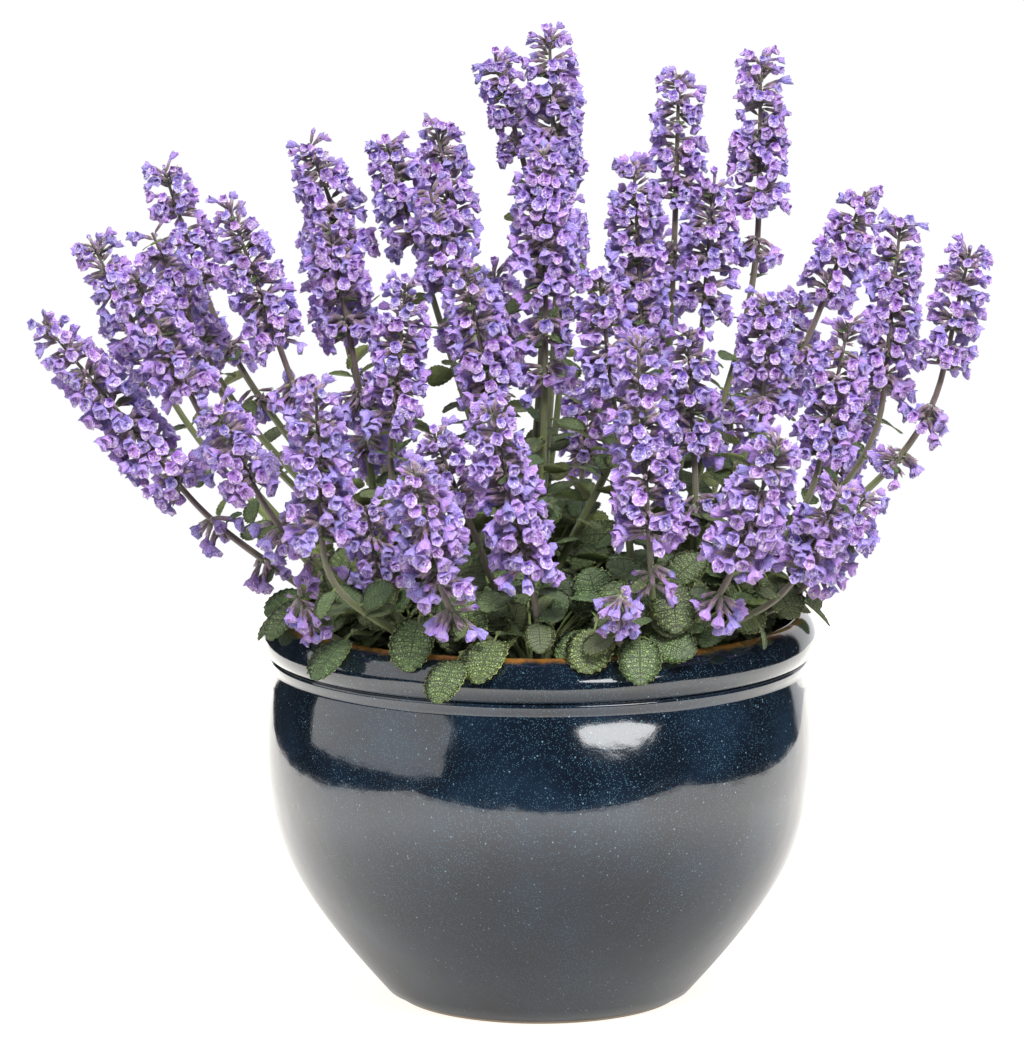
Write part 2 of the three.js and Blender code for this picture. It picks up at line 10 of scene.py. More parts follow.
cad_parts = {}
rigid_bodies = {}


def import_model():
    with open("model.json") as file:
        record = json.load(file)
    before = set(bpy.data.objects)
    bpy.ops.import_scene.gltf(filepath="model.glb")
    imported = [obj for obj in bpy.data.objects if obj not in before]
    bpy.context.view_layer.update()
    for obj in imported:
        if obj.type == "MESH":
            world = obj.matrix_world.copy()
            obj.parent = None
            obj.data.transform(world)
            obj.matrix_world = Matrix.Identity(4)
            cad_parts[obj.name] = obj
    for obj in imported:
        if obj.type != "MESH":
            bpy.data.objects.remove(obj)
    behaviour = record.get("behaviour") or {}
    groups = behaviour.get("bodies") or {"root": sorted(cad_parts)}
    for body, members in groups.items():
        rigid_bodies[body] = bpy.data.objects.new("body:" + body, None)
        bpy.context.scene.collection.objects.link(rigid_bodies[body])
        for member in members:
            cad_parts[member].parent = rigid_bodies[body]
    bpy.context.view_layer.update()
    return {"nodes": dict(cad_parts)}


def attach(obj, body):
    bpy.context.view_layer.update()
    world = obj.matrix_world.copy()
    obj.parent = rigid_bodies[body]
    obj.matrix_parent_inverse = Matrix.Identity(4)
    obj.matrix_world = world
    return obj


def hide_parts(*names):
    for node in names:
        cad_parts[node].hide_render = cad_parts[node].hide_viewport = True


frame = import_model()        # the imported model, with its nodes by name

scene = bpy.context.scene
up = Vector((0, 0, 1))
away = Vector((0, 1, 0))     # no stem runs along this, so it squares them up


def scatter(number):         # the same value between 0 and 1 each time for the same number
    wide = math.sin(number * 12.9898) * 43758.5453
    return wide - math.floor(wide)


def outwardAt(angle):
    return Vector((math.cos(angle), math.sin(angle), 0))


def squareTo(direction):     # two directions square to a stem and to each other
    side = away.cross(direction).normalized()
    return side, direction.cross(side)


def bezier(controls, share):
    points = [Vector(point) for point in controls]
    while len(points) > 1:
        points = [a.lerp(b, share) for a, b in zip(points, points[1:])]
    return points[0]


def colour(text):            # "#rrggbb" as the linear colour that shaders take
    values = [int(text[place:place + 2], 16) / 255 for place in (1, 3, 5)]
    linear = [v / 12.92 if v <= 0.04045 else ((v + 0.055) / 1.055) ** 2.4 for v in values]
    return (*linear, 1.0)


def coloursOf(look):         # the same for every colour that a look names
    return {name: colour(value) for name, value in look.items() if isinstance(value, str)}


def around(side, front, angle):      # the direction at an angle from one towards the other
    return side * math.cos(angle) + front * math.sin(angle)


def place(name, mesh):       # a new object of a mesh, in the scene
    obj = bpy.data.objects.new(name, mesh)
    scene.collection.objects.link(obj)
    return obj


def meshFrom(bm, name):
    mesh = bpy.data.meshes.new(name)
    bm.to_mesh(mesh)
    bm.free()
    return mesh


def joinRings(bm, rings):    # quads from each ring to the next, which stands further along or out
    faces = []
    for low, high in zip(rings, rings[1:]):
        for side in range(len(low)):
            following = (side + 1) % len(low)
            faces.append(bm.faces.new((low[side], low[following], high[following], high[side])))
    return faces


class Route:                 # a line through points, measured by the distance along it
    def __init__(self, points):
        self.points = points
        self.marks = [0.0]
        for a, b in zip(points, points[1:]):
            self.marks.append(self.marks[-1] + (b - a).length)
        self.length = self.marks[-1]

    def at(self, distance):  # the place and the direction there, also a little past the ends
        last = len(self.points) - 2
        index = min(max(bisect.bisect_right(self.marks, distance) - 1, 0), last)
        a, b = self.points[index:index + 2]
        direction = (b - a).normalized()
        return a + direction * (distance - self.marks[index]), direction


class Graph:                 # a node tree with short calls for making and joining its nodes
    def __init__(self, tree):
        self.tree = tree

    def node(self, kind, inputs=(), **settings):
        made = self.tree.nodes.new(kind)
        for name, value in settings.items():
            setattr(made, name, value)
        pairs = inputs.items() if isinstance(inputs, dict) else enumerate(inputs)
        for key, value in pairs:
            named = [each for each in made.inputs if each.name == key and each.enabled]
            socket = named[0] if named else made.inputs[key]
            if isinstance(value, bpy.types.NodeSocket):
                self.tree.links.new(value, socket)
            else:
                socket.default_value = value
        return made

    def get(self, kind, inputs=(), output=0, **settings):
        made = self.node(kind, inputs, **settings)
        if isinstance(output, int):
            return made.outputs[output]
        return next(each for each in made.outputs if each.name == output and each.enabled)

    def math(self, operation, *values):
        return self.get("ShaderNodeMath", values, operation=operation)

    def vector(self, operation, *values):
        return self.get("ShaderNodeVectorMath", values, operation=operation)

    def scaled(self, vector, scale):
        return self.get("ShaderNodeVectorMath", {"Vector": vector, "Scale": scale}, operation="SCALE")

    def lengthOf(self, vector):
        return self.get("ShaderNodeVectorMath", (vector,), "Value", operation="LENGTH")

    def partsOf(self, vector):
        return self.node("ShaderNodeSeparateXYZ", (vector,)).outputs

    def mixed(self, share, a, b, blend="MIX"):   # colours
        return self.get("ShaderNodeMix", {"Factor": share, "A": a, "B": b}, "Result",
                        data_type="RGBA", blend_type=blend)

    def blended(self, share, a, b):              # plain values
        return self.get("ShaderNodeMix", {"Factor": share, "A": a, "B": b}, "Result", data_type="FLOAT")

    def ramped(self, value, low, high, start=0.0, end=1.0):    # value from low to high, as start to end
        return self.get("ShaderNodeMapRange", (value, low, high, start, end),
                        interpolation_type="SMOOTHSTEP")

    def attribute(self, name):       # for a material
        return self.get("ShaderNodeAttribute", output="Fac", attribute_name=name)

    def named(self, name, kind="FLOAT"):     # an attribute for Geometry Nodes
        return self.get("GeometryNodeInputNamedAttribute", {"Name": name}, data_type=kind)

    def coordinates(self, output="Object"):
        return self.get("ShaderNodeTexCoord", output=output)

    def grain(self, coordinates, scale, detail=3.0):
        return self.get("ShaderNodeTexNoise", {
            "Vector": coordinates, "Scale": scale, "Detail": detail, "Roughness": 0.55})

    def copied(self, points, kinds, which, rotation, size):      # one of the kinds on every point
        shapes = self.get("GeometryNodeCollectionInfo", {
            "Collection": kinds, "Separate Children": True, "Reset Children": True})
        return self.get("GeometryNodeInstanceOnPoints", {
            "Points": points, "Instance": shapes, "Pick Instance": True, "Instance Index": which,
            "Rotation": rotation, "Scale": size})

    def finish(self, geometry, result, *materials):  # plain faces with a material, or some of them
        finished = self.get("GeometryNodeRealizeInstances", (geometry,))
        for material, selection in materials:
            finished = self.get("GeometryNodeSetMaterial", {
                "Geometry": finished, "Selection": selection, "Material": material})
        self.tree.links.new(finished, result)
        self.tree.is_modifier = True
        return self


def newTree(name, kind, inputs, outputs):
    tree = bpy.data.node_groups.new(name, kind)
    for label, socket, value in inputs:
        made = tree.interface.new_socket(label, in_out="INPUT", socket_type="NodeSocket" + socket)
        if value is not None:
            made.default_value = value
    for label, socket in outputs:
        tree.interface.new_socket(label, in_out="OUTPUT", socket_type="NodeSocket" + socket)
    graph = Graph(tree)
    return graph, graph.node("NodeGroupInput").outputs, graph.node("NodeGroupOutput").inputs


def grown(name, source, graph, values):      # what a tree makes of an object, as a plain mesh
    modifier = source.modifiers.new(name, "NODES")
    modifier.node_group = graph.tree
    for item in graph.tree.interface.items_tree:
        if item.in_out == "INPUT" and item.name in values:
            modifier[item.identifier] = values[item.name]
    depsgraph = bpy.context.evaluated_depsgraph_get()
    mesh = bpy.data.meshes.new_from_object(
        source.evaluated_get(depsgraph), preserve_all_data_layers=True, depsgraph=depsgraph)
    source.modifiers.remove(modifier)
    bpy.data.objects.remove(source)
    return place(name, mesh)


def pointsFrom(name, rows, edges=()):        # a mesh of points whose other values are attributes
    mesh = bpy.data.meshes.new(name)
    mesh.from_pydata([row["place"] for row in rows], edges, [])
    for key in rows[0]:
        if key == "place":
            continue
        isVector = isinstance(rows[0][key], Vector)
        kind = "FLOAT_VECTOR" if isVector else "INT" if isinstance(rows[0][key], int) else "FLOAT"
        attribute = mesh.attributes.new(key, kind, "POINT")
        values = [part for row in rows for part in row[key]] if isVector else [row[key] for row in rows]
        attribute.data.foreach_set("vector" if isVector else "value", values)
    return place(name, mesh)


# camera, floor and lights

cameraSetup = {"place": (-0.0146, -3.2, 0.80), "lookDown": 9.65, "sensor": 36.0, "focal": 212.4}

# the floor glows: painted light that is dimmer near the pot as a painted shadow and brighter further out
# and to the left; to the camera it glows evenly white
floorSetup = {"left": -0.72, "right": 0.88, "front": -0.62, "back": 1.2, "colour": "#8c8b8a",
              "glow": "#fffbf4", "seenGlow": 0.95, "nearGlow": 0.37, "farGlow": 1.55, "near": 0.12,
              "far": 0.62, "stretch": (1.4, 1.0, 1.0), "shift": (-0.04, 0.0, 0.0), "faint": 0.985}

# each softbox stands at a compass angle from the front (right is positive) and an elevation
softboxes = {
    "overhead": {"angle": 190, "elevation": 80, "distance": 1.9, "size": (1.8, 1.8), "power": 20},
    "front": {"angle": 12, "elevation": 42, "distance": 2.4, "size": (0.8, 0.7), "power": 91},
    "windowCard": {"angle": -73, "elevation": 22, "distance": 2.3, "size": (3.5, 2.7), "power": 42},
    "smallCard": {"angle": 32.6, "elevation": 6.4, "distance": 2.4, "size": (1.45, 0.50), "power": 15},
}
aimHeight = 0.3
# what light comes from all round: white behind, a dim room in front, as the glaze mirrors it
surround = {"colour": "#fcfdff", "white": 1.04, "ambientLow": 0.55, "ambientHigh": 1.16, "room": 0.02,
            "backEdge": 0.852, "toRight": 0.19, "softness": 0.02}


def makeCamera():
    data = bpy.data.cameras.new("camera")
    data.sensor_fit = "HORIZONTAL"
    data.sensor_width = cameraSetup["sensor"]
    data.lens = cameraSetup["focal"]
    camera = bpy.data.objects.new("camera", data)
    camera.location = cameraSetup["place"]
    camera.rotation_euler = (math.radians(90 - cameraSetup["lookDown"]), 0, 0)
    scene.collection.objects.link(camera)
    scene.camera = camera


def makeFloor():
    material, graph, shader = newMaterial("paleFloor")
    where = graph.coordinates()
    faint = graph.ramped(graph.grain(where, 9.0), 0.3, 0.7, floorSetup["faint"], 1.0)
    # painted shadow and light: the glow is dim near the pot, rises further out and is stretched to be
    # brighter to the left
    stretched = graph.vector("MULTIPLY_ADD", where, floorSetup["stretch"], floorSetup["shift"])
    glow = graph.ramped(graph.lengthOf(stretched), floorSetup["near"], floorSetup["far"],
                        floorSetup["nearGlow"], floorSetup["farGlow"])
    seen = graph.node("ShaderNodeLightPath").outputs["Is Camera Ray"]
    wire(graph, shader, {
        "Base Color": graph.mixed(1.0, colour(floorSetup["colour"]), faint, "MULTIPLY"),
        "Roughness": 0.7, "Emission Color": colour(floorSetup["glow"]),
        "Emission Strength": graph.blended(seen, glow, floorSetup["seenGlow"])})
    corners = [(floorSetup[x], floorSetup[y], 0) for x, y in
               (("left", "front"), ("right", "front"), ("right", "back"), ("left", "back"))]
    mesh = bpy.data.meshes.new("floor")
    mesh.from_pydata(corners, [], [(0, 1, 2, 3)])
    mesh.materials.append(material)
    place("floor", mesh)


def makeLights():
    for name, box in softboxes.items():
        data = bpy.data.lights.new(name, "AREA")
        data.shape = "ELLIPSE" if name == "smallCard" else "RECTANGLE"
        data.size, data.size_y = box["size"]
        data.energy = box["power"]
        light = bpy.data.objects.new(name, data)
        angle, rise = math.radians(box["angle"]), math.radians(box["elevation"])
        toLight = around(around(-away, Vector((1, 0, 0)), angle), up, rise)
        light.location = toLight * box["distance"] + up * aimHeight
        light.rotation_euler = toLight.to_track_quat("Z", "Y").to_euler()
        light.visible_glossy = "Card" in name        # cards show only in the glaze
        light.visible_diffuse = "Card" not in name
        scene.collection.objects.link(light)


def makeWorld():
    world = bpy.data.worlds.new("studio")
    world.use_nodes = True
    world.node_tree.nodes.clear()
    graph = Graph(world.node_tree)
    x, y, z = graph.partsOf(graph.coordinates("Generated"))
    edge, soft = surround["backEdge"], surround["softness"]
    behind = graph.math("MULTIPLY_ADD", x, surround["toRight"], y)
    mirrored = graph.ramped(behind, edge - soft, edge + soft, surround["room"], surround["white"])
    ambient = graph.ramped(z, -0.3, 1.0, surround["ambientLow"], surround["ambientHigh"])
    path = graph.node("ShaderNodeLightPath").outputs
    strength = graph.blended(path["Is Glossy Ray"], ambient, mirrored)
    strength = graph.blended(path["Is Camera Ray"], strength, surround["white"])
    light = graph.get("ShaderNodeBackground", {
        "Color": colour(surround["colour"]), "Strength": strength})
    graph.node("ShaderNodeOutputWorld", (light,))
    scene.world = world


def newMaterial(name):
    material = bpy.data.materials.new(name)
    material.use_nodes = True
    material.node_tree.nodes.clear()
    graph = Graph(material.node_tree)
    shader = graph.node("ShaderNodeBsdfPrincipled")
    graph.node("ShaderNodeOutputMaterial", (shader.outputs[0],))
    return material, graph, shader


def wire(graph, shader, inputs):     # sets or joins a shader's own sockets
    for name, value in inputs.items():
        if isinstance(value, bpy.types.NodeSocket):
            graph.tree.links.new(value, shader.inputs[name])
        else:
            shader.inputs[name].default_value = value


scene.view_settings.view_transform = "Standard"
makeCamera()
makeWorld()
makeFloor()
makeLights()
print("studio: camera, floor,", len(softboxes), "softboxes")


# shader effects that several materials share

def makeToneShift():         # moves a colour a little for each leaf or flower, by its own tone of 0 to 1
    graph, given, result = newTree("toneShift", "ShaderNodeTree", [
        ("Color", "Color", None), ("Tone", "Float", 0.5), ("Hue swing", "Float", 0.03),
        ("Value swing", "Float", 0.3)], [("Color", "Color")])
    middle = graph.math("SUBTRACT", given["Tone"], 0.5)
    hue = graph.math("MULTIPLY_ADD", middle, given["Hue swing"], 0.5)
    other = graph.math("FRACT", graph.math("MULTIPLY", given["Tone"], 7.31))
    value = graph.math("MULTIPLY_ADD", graph.math("SUBTRACT", other, 0.5), given["Value swing"], 1.0)
    shifted = graph.get("ShaderNodeHueSaturation", {"Hue": hue, "Value": value, "Color": given["Color"]})
    graph.tree.links.new(shifted, result["Color"])
    return graph.tree


def makeMottle():            # soft uneven patches with a finer grain in them, as a mask of 0 to 1
    graph, given, result = newTree("mottle", "ShaderNodeTree", [
        ("Vector", "Vector", None), ("Patch scale", "Float", 60.0), ("Grain scale", "Float", 900.0),
        ("Grain share", "Float", 0.35)], [("Mask", "Float")])
    patches = graph.ramped(graph.grain(given["Vector"], given["Patch scale"]), 0.3, 0.7)
    fine = graph.ramped(graph.grain(given["Vector"], given["Grain scale"], 2.0), 0.3, 0.7)
    graph.tree.links.new(graph.blended(given["Grain share"], patches, fine), result["Mask"])
    return graph.tree


toneShift = makeToneShift()
mottle = makeMottle()


def toned(graph, base, hueSwing, valueSwing):
    return graph.get("ShaderNodeGroup", {
        "Color": base, "Tone": graph.attribute("tone"), "Hue swing": hueSwing,
        "Value swing": valueSwing}, node_tree=toneShift)


def mottled(graph, patchScale, grainScale, grainShare=0.35):
    return graph.get("ShaderNodeGroup", {
        "Vector": graph.coordinates(), "Patch scale": patchScale, "Grain scale": grainScale,
        "Grain share": grainShare}, node_tree=mottle)


def bumped(graph, height, distance, strength=1.0):
    return graph.get("ShaderNodeBump", {"Strength": strength, "Distance": distance, "Height": height})


# the glazed pot

potForm = {
    "sides": 160, "foot": 0.0775, "footBevel": 0.0012,
    "belly": ((0.083, 0.004), (0.1384, 0.0667), (0.1594, 0.1037), (0.1437, 0.179)), "bellySteps": 34,
    "ring": ((0.1437, 0.1803), (0.1440, 0.1813), (0.1444, 0.1827), (0.1448, 0.1843), (0.1450, 0.1857),
             (0.1447, 0.1861), (0.1436, 0.1863)),
    "rim": ((0.1433, 0.1865), (0.150, 0.188), (0.1525, 0.204), (0.141, 0.210)), "rimSteps": 20,
    "lip": ((0.141, 0.210), (0.1382, 0.2104), (0.1366, 0.2090), (0.1363, 0.2055)), "lipSteps": 6,
    "inside": ((0.1357, 0.190), (0.1355, 0.178), (0.140, 0.150), (0.136, 0.105), (0.112, 0.058),
               (0.076, 0.013)), "insideSteps": 12,
    "floor": 0.013, "drainRadius": 0.006, "drainCircle": 0.038, "drains": 3,
}
glazeLook = {                # heights and sizes in metres, and noises as their scale and detail
    "deep": "#0b121c", "blue": "#142231", "speck": "#46687a", "pale": "#86a2b0", "break": "#8a5c20",
    "clay": "#b59c7c", "roughness": 0.10, "clayRoughness": 0.75, "index": 1.6, "coat": 0.6,
    "cloud": (26.0, 5.0), "cloudy": (0.32, 0.72), "pooled": (0.186, 0.194, 1.0, 0.25),
    "drift": (30.0, 4.0), "drifting": (0.3, 0.7, 0.3, 0.75), "speckEdge": (0.42, 0.12),
    "breaks": (0.2098, 0.2126), "ragged": (60.0, 4.0), "raggedBy": 0.0050,
    "streaks": (160.0, 4.0), "streaky": (0.3, 0.6, 0.45, 0.95),
    "bare": (0.0026, 0.0016), "wave": (70.0, 3.0), "waveBy": 0.0012,
    "ripple": (34.0, 2.0), "fineRipple": (420.0, 2.0), "fineRippleShare": 0.05, "rippleBy": 0.0016,
}
# the size of a speck, the share of places that have one, a shift of the pattern and the colour
specks = ((0.0009, 0.6, 0.0, "speck"), (0.0014, 0.13, 0.7, "pale"))


def makeGlaze():
    look, paint = glazeLook, coloursOf(glazeLook)
    material, graph, shader = newMaterial("speckledGlaze")
    where = graph.coordinates()
    z = graph.partsOf(where)["Z"]
    cloud = graph.ramped(graph.grain(where, *look["cloud"]), *look["cloudy"])
    # it is deepest where it pooled on the rim
    cloud = graph.math("MULTIPLY", cloud, graph.ramped(z, *look["pooled"]))
    wall = graph.mixed(cloud, paint["deep"], paint["blue"])
    drift = graph.ramped(graph.grain(where, *look["drift"]), *look["drifting"])
    for size, share, shift, tint in specks:
        cell = graph.node("ShaderNodeTexVoronoi", {
            "Vector": graph.vector("ADD", where, (shift, shift, 0.0)), "Scale": 1 / size})
        chosen = graph.math("GREATER_THAN", cell.outputs["Color"], 1 - share)
        speck = graph.math("MULTIPLY", graph.ramped(cell.outputs["Distance"], *look["speckEdge"]), chosen)
        wall = graph.mixed(graph.math("MULTIPLY", speck, drift), wall, paint[tint])
    # the glaze breaks to brown where it runs thin over the lip, and stops short of the foot
    ragged = graph.math("MULTIPLY_ADD", graph.grain(where, *look["ragged"]), look["raggedBy"], z)
    streaks = graph.ramped(graph.grain(where, *look["streaks"]), *look["streaky"])
    lip = graph.math("MULTIPLY", graph.ramped(ragged, *look["breaks"]), streaks)
    wall = graph.mixed(lip, wall, paint["break"])
    wavy = graph.math("MULTIPLY_ADD", graph.grain(where, *look["wave"]), look["waveBy"], z)
    bare = graph.ramped(wavy, *look["bare"])
    fine = graph.math("MULTIPLY", graph.grain(where, *look["fineRipple"]), look["fineRippleShare"])
    ripple = graph.math("ADD", graph.grain(where, *look["ripple"]), fine)
    wire(graph, shader, {
        "Base Color": graph.mixed(bare, wall, paint["clay"]),
        "Roughness": graph.ramped(bare, 0.0, 1.0, look["roughness"], look["clayRoughness"]),
        "IOR": look["index"], "Coat Weight": look["coat"], "Coat Roughness": 0.02,
        "Normal": bumped(graph, ripple, look["rippleBy"], 0.35)})
    return material


def makePot():
    form = potForm

    def curve(key):
        controls = [(*point, 0) for point in form[key]]
        steps = form[key + "Steps"]
        return [bezier(controls, step / steps).xy for step in range(steps + 1)]

    inside = Route([Vector((*point, 0)) for point in form["inside"]])
    steps = form["insideSteps"]
    inner = [inside.at(inside.length * step / steps)[0].xy for step in range(steps + 1)]
    profile = [Vector((form["foot"] - form["footBevel"], 0)), Vector((form["foot"], form["footBevel"]))]
    profile += curve("belly") + [Vector(point) for point in form["ring"]] + curve("rim")
    profile += curve("lip")[1:] + inner
    sides = form["sides"]
    bm = bmesh.new()
    rings = [[bm.verts.new((*(outwardAt(2 * math.pi * side / sides) * point.x).xy, point.y))
              for side in range(sides)] for point in profile]
    joinRings(bm, rings)
    bm.faces.new(reversed(rings[0]))
    bm.faces.new(rings[-1])
    for face in bm.faces:
        face.smooth = len(face.verts) == 4
    pot = place("pot_glazed", meshFrom(bm, "pot_glazed"))
    cutDrains(pot)
    pot.data.materials.clear()
    pot.data.materials.append(makeGlaze())
    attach(pot, "root")
    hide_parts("pot")


def cutDrains(pot):
    bm = bmesh.new()
    for hole in range(potForm["drains"]):
        middle = outwardAt(2 * math.pi * hole / potForm["drains"]) * potForm["drainCircle"]
        made = bmesh.ops.create_cone(
            bm, cap_ends=True, segments=32, radius1=potForm["drainRadius"],
            radius2=potForm["drainRadius"], depth=4 * potForm["floor"])
        bmesh.ops.translate(bm, verts=made["verts"], vec=middle)
    cutter = place("drainCutter", meshFrom(bm, "drainCutter"))
    modifier = pot.modifiers.new("drains", "BOOLEAN")
    modifier.operation = "DIFFERENCE"
    modifier.object = cutter
    depsgraph = bpy.context.evaluated_depsgraph_get()
    pot.data = bpy.data.meshes.new_from_object(pot.evaluated_get(depsgraph), depsgraph=depsgraph)
    pot.modifiers.clear()
    bpy.data.objects.remove(cutter)


makePot()
print("pot:", potForm["sides"], "sides")


# the soil, with a layer of crumbs

soilForm = {
    "sides": 96, "edge": 0.1340, "edgeHeight": 0.184, "middle": 0.084, "middleHeight": 0.188,
    "ringStep": 0.0042, "lumps": 0.0018, "below": ((0.134, 0.178), (0.1385, 0.150), (0.1345, 0.105),
                                                   (0.110, 0.058), (0.0745, 0.0134)),
    "lumpScales": (90, 260), "fineLumps": 0.6, "colours": ("#1d130c", "#46331f"),
}
crumbRule = {
    "perSquareMetre": 18000.0, "smallest": 0.0007, "largest": 0.0022, "level": 0.4, "seed": 4,
    "toneSeed": 9, "kinds": 4, "flat": 0.7, "colours": ("#231710", "#5b4430"),
}


def makeSoilLook(name, dark, light):
    material, graph, shader = newMaterial(name)
    patches = mottled(graph, 120.0, 1400.0, 0.5)
    body = graph.mixed(patches, colour(dark), colour(light))
    wire(graph, shader, {
        "Base Color": toned(graph, body, 0.02, 0.5), "Roughness": 0.95,
        "Normal": bumped(graph, patches, 0.0008)})
    return material


def makeSoilBed():
    form = soilForm
    count = math.ceil(form["edge"] / form["ringStep"])
    sides = form["sides"]
    bm = bmesh.new()

    def surface(radius, angle):
        across = outwardAt(angle) * radius
        slope = max(0, (radius - form["middle"]) / (form["edge"] - form["middle"]))
        height = form["middleHeight"] + slope * (form["edgeHeight"] - form["middleHeight"])
        large, fine = [noise.noise(across * scale) for scale in form["lumpScales"]]
        lump = large + form["fineLumps"] * fine
        return (across.x, across.y, height + lump * form["lumps"])

    def ring(makePoint):
        return [bm.verts.new(makePoint(2 * math.pi * side / sides)) for side in range(sides)]

    rings = [ring(lambda angle, at=at: surface(form["edge"] * at / count, angle))
             for at in range(1, count + 1)]
    rings += [ring(lambda angle, r=r, h=h: (*(outwardAt(angle) * r).xy, h)) for r, h in form["below"]]
    middle = bm.verts.new(surface(0, 0))
    # in this order, as the crumbs fall by it
    for side in range(sides):
        following = (side + 1) % sides
        bm.faces.new((middle, rings[0][side], rings[0][following]))
        for upper, lower in zip(rings, rings[1:]):
            bm.faces.new((upper[side], lower[side], lower[following], upper[following]))
    bm.faces.new(reversed(rings[-1]))
    for face in bm.faces:
        face.smooth = True
    bed = place("soil_bed", meshFrom(bm, "soil_bed"))
    bed.data.materials.append(makeSoilLook("dampSoil", *soilForm["colours"]))
    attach(bed, "root")
    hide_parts("soil")
    return bed


def makeKinds(name, meshes):         # a collection of shapes to pick from, out of the scene
    kinds = bpy.data.collections.new(name)
    for number, mesh in enumerate(meshes):
        kinds.objects.link(bpy.data.objects.new(f"{name}{number}", mesh))
    return kinds


def dropKinds(kinds):
    for obj in list(kinds.objects):
        bpy.data.objects.remove(obj)
    bpy.data.collections.remove(kinds)


def crumbMesh(number):
    bm = bmesh.new()
    bmesh.ops.create_icosphere(bm, subdivisions=1, radius=1.0)
    for vert in bm.verts:
        vert.co *= 0.75 + 0.5 * scatter(number * 41 + vert.index)
        vert.co.z *= crumbRule["flat"]
    return meshFrom(bm, "crumb")


def crumbTree():
    graph, given, result = newTree("scatteredCrumbs", "GeometryNodeTree", [
        ("Bed", "Geometry", None), ("Kinds", "Collection", None), ("Per square metre", "Float", 1.0),
        ("Smallest", "Float", 0.001), ("Largest", "Float", 0.002), ("Seed", "Int", 0),
        ("Material", "Material", None)], [("Crumbs", "Geometry")])
    upward = graph.partsOf(graph.get("GeometryNodeInputNormal"))["Z"]
    points = graph.get("GeometryNodeDistributePointsOnFaces", {
        "Mesh": given["Bed"], "Selection": graph.math("GREATER_THAN", upward, crumbRule["level"]),
        "Density": given["Per square metre"], "Seed": given["Seed"]})
    size = graph.get("FunctionNodeRandomValue", {
        "Min": given["Smallest"], "Max": given["Largest"], "Seed": given["Seed"]}, "Value")
    turn = graph.get("FunctionNodeRandomValue", {     # a full turn about each axis
        "Min": (0, 0, 0), "Max": (6.28, 6.28, 6.28), "Seed": given["Seed"]}, "Value",
        data_type="FLOAT_VECTOR")
    which = graph.get("FunctionNodeRandomValue", {
        "Min": 0, "Max": crumbRule["kinds"] - 1, "Seed": given["Seed"]}, "Value", data_type="INT")
    crumbs = graph.copied(points, given["Kinds"], which, turn, size)
    tone = graph.get("FunctionNodeRandomValue", {"Seed": crumbRule["toneSeed"]}, "Value")
    crumbs = graph.get("GeometryNodeStoreNamedAttribute", {
        "Geometry": crumbs, "Name": "tone", "Value": tone}, domain="INSTANCE")
    return graph.finish(crumbs, result["Crumbs"], (given["Material"], True))


def makeCrumbs(bed):
    rule = crumbRule
    kinds = makeKinds("crumbKind", [crumbMesh(number) for number in range(rule["kinds"])])
    source = place("crumbSource", bed.data.copy())
    crumbs = grown("soil_crumbs", source, crumbTree(), {
        "Kinds": kinds, "Per square metre": rule["perSquareMetre"], "Smallest": rule["smallest"],
        "Largest": rule["largest"], "Seed": rule["seed"],
        "Material": makeSoilLook("soilCrumbs", *rule["colours"])})
    dropKinds(kinds)
    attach(crumbs, "root")
    return crumbs


crumbs = makeCrumbs(makeSoilBed())
print("soil:", len(crumbs.data.polygons), "crumb faces")


# layout of the plant: crowns in the soil, flowering stems and leafy shoots

crowns = [
    (-0.085, -0.030), (-0.058, -0.076), (-0.004, -0.088), (0.058, -0.076), (0.086, -0.018),
    (0.062, 0.058), (-0.004, 0.082), (-0.066, 0.054), (0.0, 0.0),
]

